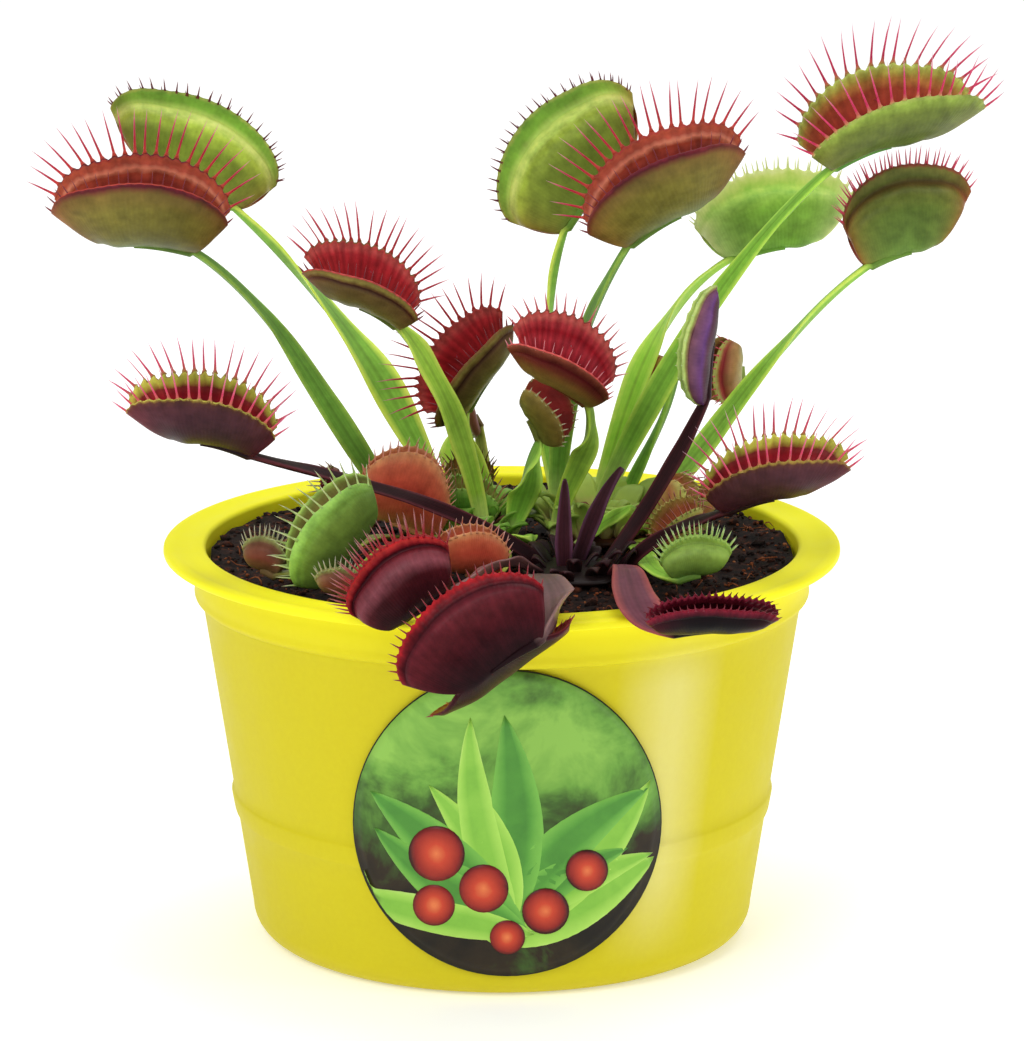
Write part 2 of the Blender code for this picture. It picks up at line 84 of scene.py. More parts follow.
def mapGrid(bm, across, along, place, slot):
    # a grid bent to a shape: place(column, row) gives a point and its UV
    uvLayer = bm.loops.layers.uv.active
    made = bmesh.ops.create_grid(bm, x_segments=across, y_segments=along, size=0.5)
    cell = {}
    for vert in made["verts"]:
        column = round((vert.co.x + 0.5) * across)
        row = round((vert.co.y + 0.5) * along)
        vert.co, cell[vert] = place(column, row)
    for face in {face for vert in made["verts"] for face in vert.link_faces}:
        face.material_index = slot
        face.smooth = True
        for loop in face.loops:
            loop[uvLayer].uv = cell[loop.vert]
    return made["verts"]


def finishPiece(name, bm, materials, node, weld=0.002):
    # from millimetres to metres, closed, faces outwards
    bmesh.ops.remove_doubles(bm, verts=bm.verts, dist=weld)
    bmesh.ops.dissolve_degenerate(bm, edges=bm.edges, dist=0.0001)
    bmesh.ops.recalc_face_normals(bm, faces=bm.faces)
    bmesh.ops.scale(bm, vec=(mm, mm, mm), verts=bm.verts)
    mesh = bpy.data.meshes.new(name)
    bm.to_mesh(mesh)
    bm.free()
    piece = bpy.data.objects.new(name, mesh)
    bpy.context.scene.collection.objects.link(piece)
    for material in materials:
        mesh.materials.append(material)
    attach(piece, "root")
    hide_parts(node)
    return piece


def linear(tone):
    # a screen colour, 0 to 255, as the linear colour a shader takes
    shares = [part / 255 for part in tone]
    return [s / 12.92 if s <= 0.04045 else ((s + 0.055) / 1.055) ** 2.4 for s in shares] + [1.0]


def newMaterial(name, settings):
    made = bpy.data.materials.new(name)
    made.use_nodes = True
    tree = made.node_tree
    shader = tree.nodes["Principled BSDF"]
    for socket, value in settings.items():
        shader.inputs[socket].default_value = value
    return made, tree, shader


def feed(tree, socket, value):
    if isinstance(value, bpy.types.NodeSocket):
        tree.links.new(value, socket)
    else:
        socket.default_value = value


def maths(tree, operation, first, second=0.5, third=None):
    node = tree.nodes.new("ShaderNodeMath")
    node.operation = operation
    feed(tree, node.inputs[0], first)
    feed(tree, node.inputs[1], second)
    if third is not None:
        feed(tree, node.inputs[2], third)
    return node.outputs[0]


def mixed(tree, factor, first, second, blend="MIX"):
    # the node's colour sockets are 6 and 7, and its colour result is 2
    node = tree.nodes.new("ShaderNodeMix")
    node.data_type = "RGBA"
    node.blend_type = blend
    feed(tree, node.inputs[0], factor)
    feed(tree, node.inputs[6], first)
    feed(tree, node.inputs[7], second)
    return node.outputs[2]


def ramp(tree, source, stops):
    node = tree.nodes.new("ShaderNodeValToRGB")
    elements = node.color_ramp.elements
    elements.remove(elements[1])
    elements[0].position = stops[0][0]
    elements[0].color = linear(stops[0][1])
    for place, tone in stops[1:]:
        elements.new(place).color = linear(tone)
    tree.links.new(source, node.inputs[0])
    return node.outputs[0]


def grey(tree, source, low, high, start=0.3, end=0.7):
    # low where the source is at start, high where it is at end
    node = tree.nodes.new("ShaderNodeMapRange")
    feed(tree, node.inputs[0], source)
    for socket, value in zip(node.inputs[1:5], (start, end, low, high)):
        socket.default_value = value
    return node.outputs[0]


def mottled(tree, factor, colour, pattern, low, high, start=0.3, end=0.7):
    # a colour made lighter and darker by a pattern
    return mixed(tree, factor, colour, grey(tree, pattern, low, high, start, end), "OVERLAY")


def objectPlace(tree):
    return tree.nodes.new("ShaderNodeTexCoord").outputs["Object"]


def apart(tree, vector):
    split = tree.nodes.new("ShaderNodeSeparateXYZ")
    tree.links.new(vector, split.inputs[0])
    return split.outputs[0], split.outputs[1], split.outputs[2]


def leafPlace(tree):
    # U and V of the leaf's own map
    node = tree.nodes.new("ShaderNodeUVMap")
    node.uv_map = "leaf"
    return apart(tree, node.outputs[0])[:2]


def fromMiddle(tree, value):
    # 0 halfway, 1 at both ends
    return maths(tree, "MULTIPLY", maths(tree, "ABSOLUTE", maths(tree, "SUBTRACT", value, 0.5)), 2.0)


def wavered(tree, value, pattern, amount):
    # a value pushed to and fro by a pattern
    return maths(tree, "MULTIPLY_ADD", maths(tree, "SUBTRACT", pattern, 0.5), amount, value)


def speckle(tree, place, scale, detail=3.0, rough=0.55, distortion=0.0):
    node = tree.nodes.new("ShaderNodeTexNoise")
    feed(tree, node.inputs["Vector"], place)
    node.inputs["Scale"].default_value = scale
    node.inputs["Detail"].default_value = detail
    node.inputs["Roughness"].default_value = rough
    node.inputs["Distortion"].default_value = distortion
    return node.outputs["Fac"]


def stripes(tree, across, along, count, distortion):
    # about one line for each step of the count, running along the second direction
    join = tree.nodes.new("ShaderNodeCombineXYZ")
    feed(tree, join.inputs[0], maths(tree, "MULTIPLY", across, float(count)))
    feed(tree, join.inputs[1], maths(tree, "MULTIPLY", along, 2.0))
    node = tree.nodes.new("ShaderNodeTexWave")
    tree.links.new(join.outputs[0], node.inputs["Vector"])
    node.inputs["Scale"].default_value = 0.31831
    node.inputs["Distortion"].default_value = distortion
    node.inputs["Detail"].default_value = 2.0
    node.inputs["Detail Scale"].default_value = 1.5
    return node.outputs["Fac"]


def bump(tree, shader, height, distance, strength=1.0):
    node = tree.nodes.new("ShaderNodeBump")
    node.inputs["Strength"].default_value = strength
    node.inputs["Distance"].default_value = distance
    feed(tree, node.inputs["Height"], height)
    tree.links.new(node.outputs[0], shader.inputs["Normal"])


# what all leaf tissue shares: light inside it, pattern scales and counts, and the teeth's finish
flesh = {
    "scatter": 0.12, "scatterSize": 0.0012, "scatterTint": (1.0, 0.5, 0.2),
    "grain": 2600.0, "blotch": 420.0, "drift": 45.0, "stalkGrain": 700.0, "toothGrain": 900.0,
    "veins": 46, "streaks": 19, "fibres": 9, "grooveDark": 0.86,
    "toothGloss": 0.4, "darkTooth": (84, 16, 26),
}

# What a look has when it doesn't say otherwise. Gloss is the roughness, and streak and rays are the lines
# on the inner and the outer side. Ridge, groove and lip are bands along the lobe, with their heights and
# places. Bow is the ends' curve, pinch how close shut lobes come, scallop the depth of the margin's bays,
# and nearTeeth the length and the inward lean of the near lobe's teeth.
plainLook = dict(
    gloss=0.42, sheen=0.13, streak=0.0, rays=0.0, bow=0.65, ridge=0.1, ridgeAt=0.8, groove=0.1, grooveAt=0.9,
    lip=0.1, lipAt=0.76, pinch=0.0, scallop=0.3, nearTeeth=(1.0, 0.0))

# Tones run from hinge to margin on a lobe, and from foot to tip on a tooth. Ends is the tone at the
# trap's two ends, endShare how much of it shows, and stalk has the tones of middle, wings and root.
looks = {
    "greenShut": dict(
        # the pale band in the middle of the outer tones, at 0.73, is a painted highlight along the lobe's
        # upper curve
        outer=[(0, (100, 136, 48)), (0.14, (112, 130, 47)), (0.45, (122, 142, 47)), (0.62, (158, 180, 62)),
               (0.73, (202, 216, 114)), (0.8, (190, 210, 100)), (0.88, (134, 180, 66)),
               (0.96, (120, 168, 58)), (1, (150, 164, 72))],
        ends=(140, 84, 48), endShare=0.65,
        inner=[(0, (170, 150, 70)), (0.5, (160, 70, 50)), (0.85, (170, 170, 80)), (1, (130, 150, 60))],
        tooth=[(0, (124, 70, 50)), (0.2, (84, 22, 30)), (1, (120, 60, 70))],
        stalk=[(131, 184, 67), (221, 244, 100), (223, 227, 143)],
        ridge=0.4, ridgeAt=0.76, groove=0.2, grooveAt=0.87, pinch=1.0, scallop=0.15),
    "oliveOpen": dict(
        outer=[(0, (92, 122, 50)), (0.12, (102, 108, 46)), (0.35, (108, 103, 42)), (0.7, (118, 110, 46)),
               (0.9, (112, 92, 42)), (0.95, (100, 56, 36)), (0.975, (84, 24, 32)), (1, (104, 30, 42))],
        ends=(136, 82, 46), endShare=0.75,
        # the pink line at 0.86 in the inner tones, on the lip, is a painted highlight
        inner=[(0, (132, 32, 24)), (0.45, (178, 62, 38)), (0.6, (168, 54, 36)), (0.72, (128, 42, 32)),
               (0.8, (162, 68, 48)), (0.86, (216, 136, 106)), (0.91, (178, 80, 60)), (0.97, (186, 86, 62)),
               (1, (166, 56, 46))],
        tooth=[(0, (196, 86, 62)), (0.14, (196, 56, 58)), (0.35, (184, 34, 62)), (0.7, (198, 76, 104)),
               (1, (220, 158, 172))],
        stalk=[(108, 156, 59), (150, 189, 78), (201, 218, 133)], streak=0.12, bow=1.15,
        groove=0.12, grooveAt=0.92, lip=0.4, lipAt=0.86, nearTeeth=(0.34, 0.9)),
    "paleGreen": dict(
        outer=[(0, (110, 160, 58)), (0.2, (116, 160, 58)), (0.5, (126, 174, 62)), (0.8, (172, 216, 90)),
               (0.93, (200, 224, 116)), (1, (214, 228, 138))],
        ends=(222, 232, 160), endShare=0.9,
        inner=[(0, (170, 200, 90)), (1, (200, 220, 116))],
        tooth=[(0, (210, 222, 130)), (1, (230, 234, 184))],
        stalk=[(171, 225, 78), (209, 244, 106), (223, 237, 153)],
        groove=0.0, pinch=0.8, scallop=0.5),
    "greenOpen": dict(
        outer=[(0, (88, 138, 56)), (0.15, (88, 108, 45)), (0.55, (92, 104, 43)), (0.85, (110, 126, 50)),
               (0.96, (138, 162, 64)), (1, (160, 176, 84))],
        ends=(134, 124, 60), endShare=0.5,
        inner=[(0, (130, 34, 32)), (0.5, (150, 50, 38)), (0.72, (152, 66, 44)), (0.84, (166, 114, 56)),
               (0.92, (168, 160, 70)), (1, (170, 180, 86))],
        tooth=[(0, (184, 180, 92)), (0.1, (190, 100, 80)), (0.2, (188, 34, 78)), (0.6, (208, 66, 108)),
               (1, (228, 168, 186))],
        stalk=[(129, 184, 63), (181, 223, 86), (212, 227, 143)], streak=0.14, bow=1.15,
        ridge=0.0, scallop=0.4, nearTeeth=(0.85, 0.35)),
    "ringedGreen": dict(
        # in the outer tones, the brown band at 0.81 is painted shade in the groove, and the lighter green
        # below it is a painted highlight
        outer=[(0, (96, 128, 50)), (0.2, (90, 116, 46)), (0.5, (98, 120, 48)), (0.68, (118, 126, 56)),
               (0.75, (124, 104, 56)), (0.81, (94, 80, 42)), (0.87, (98, 106, 46)), (0.96, (116, 118, 52)),
               (1, (142, 70, 54))],
        ends=(158, 62, 40), endShare=0.65,
        inner=[(0, (140, 50, 40)), (1, (150, 90, 60))],
        tooth=[(0, (150, 80, 58)), (0.2, (196, 50, 82)), (1, (224, 116, 144))],
        stalk=[(138, 189, 69), (195, 228, 94), (212, 227, 143)],
        ridge=0.2, ridgeAt=0.72, groove=0.2, grooveAt=0.81, pinch=1.0, scallop=0.2),
    "redOpen": dict(
        # the dark band at 0.84 in the outer tones is painted shade in the groove
        outer=[(0, (96, 112, 44)), (0.25, (112, 108, 48)), (0.6, (104, 88, 46)), (0.78, (96, 76, 42)),
               (0.84, (58, 28, 24)), (0.89, (98, 72, 40)), (0.95, (134, 122, 58)), (1, (122, 88, 48))],
        ends=(112, 56, 32), endShare=0.6,
        inner=[(0, (110, 14, 20)), (0.4, (142, 24, 30)), (0.66, (158, 34, 40)), (0.8, (172, 44, 50)),
               (0.93, (192, 84, 80)), (1, (178, 66, 62))],
        tooth=[(0, (176, 62, 54)), (0.15, (168, 30, 44)), (0.5, (184, 50, 72)), (1, (216, 146, 160))],
        stalk=[(150, 193, 65), (199, 228, 92), (214, 227, 143)], streak=0.28, bow=1.15,
        ridge=0.0, groove=0.35, grooveAt=0.84, scallop=0.4, lip=0.05, nearTeeth=(0.3, 0.8)),
    "roseOpen": dict(
        outer=[(0, (112, 70, 36)), (0.3, (136, 116, 52)), (0.6, (126, 90, 44)), (0.74, (104, 50, 34)),
               (0.84, (80, 16, 22)), (0.92, (92, 40, 30)), (1, (124, 62, 44))],
        ends=(124, 56, 36), endShare=0.5,
        inner=[(0, (124, 16, 28)), (0.4, (156, 28, 42)), (0.6, (176, 50, 60)), (0.72, (160, 30, 42)),
               (0.84, (184, 60, 66)), (0.94, (204, 104, 96)), (1, (190, 76, 72))],
        tooth=[(0, (196, 104, 92)), (0.2, (200, 86, 96)), (1, (224, 158, 164))],
        stalk=[(141, 184, 65), (188, 218, 86), (212, 223, 143)], streak=0.28, bow=1.15,
        ridge=0.0, groove=0.3, grooveAt=0.84, scallop=0.4, nearTeeth=(0.5, 0.6)),
    "darkOpen": dict(
        outer=[(0, (34, 16, 20)), (0.3, (54, 28, 36)), (0.7, (72, 40, 48)), (0.9, (80, 44, 50)),
               (0.965, (88, 52, 44)), (0.985, (126, 96, 50)), (1, (150, 126, 58))],
        ends=(112, 36, 44), endShare=0.45,
        inner=[(0, (84, 12, 18)), (0.4, (116, 16, 26)), (0.7, (134, 22, 32)), (0.82, (120, 38, 34)),
               (0.88, (164, 142, 58)), (0.94, (184, 182, 72)), (1, (190, 184, 78))],
        tooth=[(0, (180, 160, 74)), (0.1, (190, 90, 80)), (0.3, (204, 58, 94)), (0.7, (222, 120, 148)),
               (1, (236, 190, 200))],
        stalk=[(40, 16, 20), (86, 40, 46), (32, 14, 18)], streak=0.16, bow=1.15, gloss=0.34, sheen=0.08,
        ridge=0.0, groove=0.0, grooveAt=0.93, scallop=0.6, nearTeeth=(0.8, 0.5)),
    "purpleShut": dict(
        # the blue-purple band at 0.52 in the outer tones is a painted highlight
        outer=[(0, (42, 16, 20)), (0.2, (60, 22, 36)), (0.38, (84, 36, 62)), (0.52, (104, 62, 124)),
               (0.66, (116, 76, 104)), (0.82, (132, 84, 82)), (0.9, (152, 150, 84)), (0.96, (168, 192, 94)),
               (1, (186, 208, 120))],
        ends=(80, 36, 52), endShare=0.5,
        inner=[(0, (150, 176, 88)), (1, (176, 200, 108))],
        tooth=[(0, (176, 204, 120)), (1, (200, 214, 160))],
        stalk=[(46, 18, 22), (84, 38, 42), (36, 16, 20)], gloss=0.34, sheen=0.12,
        pinch=1.0, scallop=0.15),
    "wineShut": dict(
        # in the outer tones, the pink band at 0.62 is a painted highlight on the dome, and the dark band at
        # 0.83 is painted shade in the groove
        outer=[(0, (30, 8, 12)), (0.25, (54, 16, 22)), (0.45, (72, 22, 28)), (0.62, (126, 66, 74)),
               (0.76, (102, 32, 40)), (0.83, (56, 14, 22)), (0.9, (136, 30, 36)), (0.96, (164, 44, 40)),
               (1, (172, 26, 34))],
        ends=(84, 24, 30), endShare=0.5,
        inner=[(0, (70, 12, 18)), (1, (130, 40, 40))],
        tooth=[(0, (164, 24, 34)), (0.3, (140, 28, 38)), (1, (168, 120, 124))],
        stalk=[(112, 76, 78), (136, 98, 98), (60, 36, 38)], gloss=0.34, sheen=0.08, rays=0.08,
        ridge=0.5, ridgeAt=0.72, groove=0.6, grooveAt=0.83, pinch=1.0),
    "wineOpen": dict(
        # in the outer tones, the lighter band at 0.75 is a painted highlight on the dome, and the dark band
        # at 0.84 is painted shade in the groove
        outer=[(0, (26, 8, 12)), (0.3, (50, 12, 18)), (0.6, (80, 24, 30)), (0.75, (92, 30, 38)),
               (0.84, (58, 12, 20)), (0.91, (112, 22, 30)), (0.97, (160, 30, 36)), (1, (166, 26, 34))],
        ends=(66, 16, 24), endShare=0.5,
        inner=[(0, (70, 12, 18)), (1, (130, 40, 40))],
        tooth=[(0, (150, 22, 32)), (0.4, (118, 20, 32)), (1, (140, 66, 76))],
        stalk=[(104, 76, 76), (138, 106, 102), (50, 28, 32)], streak=0.25, gloss=0.34, sheen=0.07, rays=0.1,
        ridge=0.25, ridgeAt=0.72, groove=0.45, grooveAt=0.85, scallop=0.4),
    "oliveSmall": dict(
        outer=[(0, (104, 110, 44)), (0.5, (112, 104, 42)), (0.85, (122, 104, 46)), (1, (150, 130, 70))],
        ends=(120, 110, 54), endShare=0.5,
        inner=[(0, (112, 24, 26)), (0.6, (140, 36, 36)), (0.9, (150, 48, 44)), (1, (150, 80, 54))],
        tooth=[(0, (170, 170, 110)), (1, (206, 190, 170))],
        stalk=[(127, 179, 65), (185, 230, 94), (205, 218, 133)],
        scallop=0.2),
    "blackSide": dict(
        outer=[(0, (6, 5, 6)), (0.6, (12, 8, 10)), (0.84, (24, 10, 15)), (0.92, (90, 20, 36)),
               (1, (128, 28, 46))],
        ends=(110, 24, 42), endShare=0.5,
        inner=[(0, (34, 6, 12)), (0.6, (84, 16, 30)), (1, (116, 28, 46))],
        tooth=[(0, (124, 28, 46)), (1, (70, 16, 30))],
        stalk=[(116, 64, 78), (166, 84, 84), (50, 28, 36)], gloss=0.34, sheen=0.08, bow=1.0,
        ridge=0.2, ridgeAt=0.86, groove=0.2, grooveAt=0.78, pinch=0.6, scallop=0.5),
    "leafGreen": dict(
        outer=[(0, (82, 108, 50)), (0.3, (96, 120, 52)), (0.7, (106, 132, 56)), (0.88, (124, 164, 70)),
               (1, (150, 196, 90))],
        ends=(140, 186, 84), endShare=0.6,
        inner=[(0, (92, 40, 34)), (0.6, (104, 54, 40)), (0.9, (120, 120, 60)), (1, (150, 180, 86))],
        tooth=[(0, (150, 186, 96)), (0.5, (176, 190, 130)), (1, (206, 206, 170))],
        stalk=[(131, 179, 63), (176, 214, 86), (205, 218, 133)],
        ridge=0.15, ridgeAt=0.88, grooveAt=0.8, scallop=0.1, lip=0.2),
    "purpleBud": dict(
        outer=[(0, (112, 80, 70)), (0.4, (126, 44, 62)), (0.8, (118, 38, 60)), (1, (170, 166, 120))],
        ends=(150, 150, 110), endShare=0.5,
        inner=[(0, (110, 40, 50)), (1, (130, 60, 60))],
        tooth=[(0, (180, 170, 130)), (1, (200, 170, 170))],
        stalk=[(152, 172, 82), (188, 195, 102), (195, 201, 133)],
        ridge=0.2, pinch=1.0),
    "orangeRed": dict(
        outer=[(0, (196, 130, 88)), (0.25, (204, 92, 68)), (0.6, (192, 74, 56)), (0.85, (186, 90, 60)),
               (0.94, (196, 122, 80)), (1, (192, 134, 88))],
        ends=(200, 130, 90), endShare=0.7,
        # the lighter pink middle of the inner tones, at 0.5, is a painted highlight
        inner=[(0, (208, 92, 76)), (0.5, (214, 118, 94)), (0.75, (200, 88, 66)), (1, (194, 128, 88))],
        tooth=[(0, (186, 118, 80)), (0.4, (196, 124, 104)), (1, (214, 170, 160))],
        stalk=[(164, 172, 71), (195, 202, 92), (195, 201, 122)],
        ridge=0.0, scallop=0.15, lip=0.2),
    "brownLow": dict(
        outer=[(0, (120, 96, 60)), (0.4, (124, 62, 52)), (0.8, (110, 72, 50)), (0.92, (126, 130, 76)),
               (1, (150, 160, 100))],
        ends=(140, 140, 90), endShare=0.6,
        inner=[(0, (110, 40, 36)), (1, (130, 110, 70))],
        tooth=[(0, (150, 154, 104)), (1, (190, 180, 160))],
        stalk=[(141, 150, 65), (176, 182, 86), (173, 170, 102)],
        pinch=0.6),
    "combGreen": dict(
        outer=[(0, (84, 128, 54)), (0.4, (104, 160, 62)), (0.8, (128, 184, 76)), (1, (160, 206, 106))],
        ends=(170, 206, 110), endShare=0.5,
        inner=[(0, (150, 140, 80)), (0.5, (150, 96, 66)), (1, (150, 190, 90))],
        tooth=[(0, (156, 186, 96)), (0.4, (148, 104, 70)), (1, (170, 110, 96))],
        stalk=[(131, 191, 67), (176, 225, 90), (205, 223, 133)]),
    "brownComb": dict(
        outer=[(0, (110, 110, 50)), (0.5, (126, 96, 50)), (1, (104, 96, 46))],
        ends=(120, 80, 46), endShare=0.5,
        inner=[(0, (130, 60, 40)), (1, (120, 100, 50))],
        tooth=[(0, (110, 100, 50)), (1, (100, 76, 50))],
        stalk=[(131, 161, 61), (164, 184, 78), (195, 201, 122)]),
    "peach": dict(
        outer=[(0, (160, 176, 84)), (0.3, (176, 150, 84)), (0.6, (186, 120, 78)), (0.85, (170, 168, 84)),
               (1, (176, 190, 100))],
        ends=(184, 130, 84), endShare=0.5,
        inner=[(0, (176, 84, 60)), (0.6, (186, 110, 76)), (1, (186, 176, 96))],
        tooth=[(0, (180, 160, 96)), (0.4, (170, 90, 80)), (1, (190, 120, 120))],
        stalk=[(164, 195, 75), (206, 225, 98), (212, 218, 133)],
        lip=0.2),
    "fresh": dict(
        outer=[(0, (110, 148, 64)), (0.4, (132, 164, 74)), (0.75, (146, 176, 82)), (0.84, (124, 152, 68)),
               (0.9, (136, 168, 74)), (1, (160, 194, 98))],
        ends=(140, 176, 76), endShare=0.5,
        inner=[(0, (150, 130, 70)), (1, (150, 180, 84))],
        tooth=[(0, (150, 190, 92)), (1, (190, 210, 150))],
        stalk=[(145, 200, 69), (188, 230, 94), (205, 225, 133)],
        ridge=0.3, ridgeAt=0.78, groove=0.2, grooveAt=0.86, pinch=1.0, scallop=0.2),
    "smallRed": dict(
        outer=[(0, (150, 170, 78)), (0.35, (176, 158, 90)), (0.66, (188, 134, 90)), (0.76, (150, 44, 50)),
               (0.84, (172, 66, 58)), (0.92, (180, 172, 92)), (1, (186, 186, 104))],
        ends=(170, 140, 80), endShare=0.6,
        inner=[(0, (160, 120, 70)), (0.7, (176, 110, 76)), (1, (176, 160, 90))],
        tooth=[(0, (196, 60, 76)), (1, (206, 84, 104))],
        stalk=[(113, 161, 59), (164, 205, 86), (205, 218, 133)],
        groove=0.2, grooveAt=0.88, pinch=0.5, scallop=0.2),
    "darkBlade": dict(
        outer=[(0, (60, 30, 34)), (1, (90, 46, 50))], ends=(60, 30, 34), endShare=0.2,
        inner=[(0, (60, 30, 34)), (1, (90, 46, 50))],
        tooth=[(0, (90, 40, 44)), (1, (120, 60, 70))],
        stalk=[(60, 28, 36), (100, 62, 84), (40, 18, 22)], gloss=0.34, sheen=0.1,
        ridge=0.0, groove=0.0, scallop=0.0),
}
for name, look in looks.items():
    looks[name] = plainLook | look


def tissueSettings(gloss, sheen=0.28):
    return {
        "Roughness": gloss, "Subsurface Weight": flesh["scatter"], "Subsurface Scale": flesh["scatterSize"],
        "Subsurface Radius": flesh["scatterTint"], "Specular IOR Level": sheen,
    }


def lobeMaterial(name, look, stops, endShare, streak):
    # bands from hinge to margin, veins that run with them, blotches and a fine grain
    made, tree, shader = newMaterial(name, tissueSettings(look["gloss"], look["sheen"]))
    place = objectPlace(tree)
    u, v = leafPlace(tree)
    blotch = speckle(tree, place, flesh["blotch"], 4.0)
    drift = speckle(tree, place, flesh["drift"], 2.0)
    base = ramp(tree, wavered(tree, u, blotch, 0.07), stops)
    away = maths(tree, "POWER", fromMiddle(tree, v), 3.0)
    reach = maths(tree, "MULTIPLY", away, grey(tree, drift, 0.6 * endShare, 1.3 * endShare))
    colour = mixed(tree, reach, base, linear(look["ends"]))
    colour = mottled(tree, 0.55, colour, drift, 0.3, 0.7, 0.35, 0.65)
    colour = mottled(tree, 0.5, colour, blotch, 0.25, 0.75)
    lines = stripes(tree, v, u, flesh["veins"], 2.5)
    colour = mottled(tree, 0.07, colour, lines, 0.35, 0.65, 0.0, 1.0)
    if streak:
        broad = stripes(tree, v, u, flesh["streaks"], 4.0)
        colour = mottled(tree, streak, colour, broad, 0.15, 0.8, 0.0, 1.0)
    tree.links.new(colour, shader.inputs["Base Color"])
    grain = speckle(tree, place, flesh["grain"], 2.0)
    height = maths(tree, "ADD", maths(tree, "MULTIPLY", grain, 0.5), maths(tree, "MULTIPLY", lines, 0.25))
    bump(tree, shader, height, 0.0001, 0.5)
    return made


def toothMaterial(name, stops):
    # U is 1 on the near lobe's short teeth and a half on the trigger hairs, which are both darker
    made, tree, shader = newMaterial(name, tissueSettings(flesh["toothGloss"]))
    u, v = leafPlace(tree)
    colour = ramp(tree, v, stops)
    colour = mottled(tree, 0.35, colour, speckle(tree, objectPlace(tree), flesh["toothGrain"]), 0.3, 0.7)
    colour = mixed(tree, maths(tree, "MULTIPLY", u, 0.85), colour, linear(flesh["darkTooth"]))
    tree.links.new(colour, shader.inputs["Base Color"])
    return made


def stalkMaterial(name, look):
    # U runs across from wing to wing, V from root to neck, and past 1 on the trap's keel
    middle, wing, root = look["stalk"]
    keel = look["outer"][0][1]
    made, tree, shader = newMaterial(name, tissueSettings(look["gloss"], look["sheen"]))
    place = objectPlace(tree)
    u, v = leafPlace(tree)
    out = fromMiddle(tree, u)
    groove = tuple(flesh["grooveDark"] * part for part in middle)
    base = ramp(tree, out, [(0, groove), (0.16, middle), (0.55, middle), (0.9, wing), (1, wing)])
    low = grey(tree, v, 1.0, 0.0, 0.02, 0.22)
    colour = mixed(tree, low, base, linear(root))
    colour = mixed(tree, grey(tree, v, 0.0, 1.0, 0.97, 1.03), colour, linear(keel))
    drift = speckle(tree, place, flesh["drift"], 2.0)
    lines = stripes(tree, u, v, flesh["fibres"], 1.2)
    colour = mottled(tree, 0.5, colour, drift, 0.3, 0.7, 0.35, 0.65)
    colour = mottled(tree, 0.1, colour, lines, 0.3, 0.7, 0.0, 1.0)
    colour = mottled(tree, 0.3, colour, speckle(tree, place, flesh["stalkGrain"]), 0.3, 0.7)
    tree.links.new(colour, shader.inputs["Base Color"])
    bump(tree, shader, lines, 0.00006, 0.25)
    return made


# four materials for each look, in the order of the leaf's material slots
tissue = {}
for name, look in looks.items():
    tissue[name] = [
        stalkMaterial(name + "Stalk", look),
        lobeMaterial(name + "Outer", look, look["outer"], look["endShare"], look["rays"]),
        lobeMaterial(name + "Inner", look, look["inner"], look["endShare"] * 0.5, look["streak"]),
        toothMaterial(name + "Teeth", look["tooth"]),
    ]
print("tissue", len(tissue))


# what a leaf has when it doesn't say otherwise, in the terms that follow
plainLeaf = dict(broadAt=0.5, rise=0.25, bend=0.6, arch=0.04, skew=0.0, ends=0.45, hinge=(0.31, 0.25))

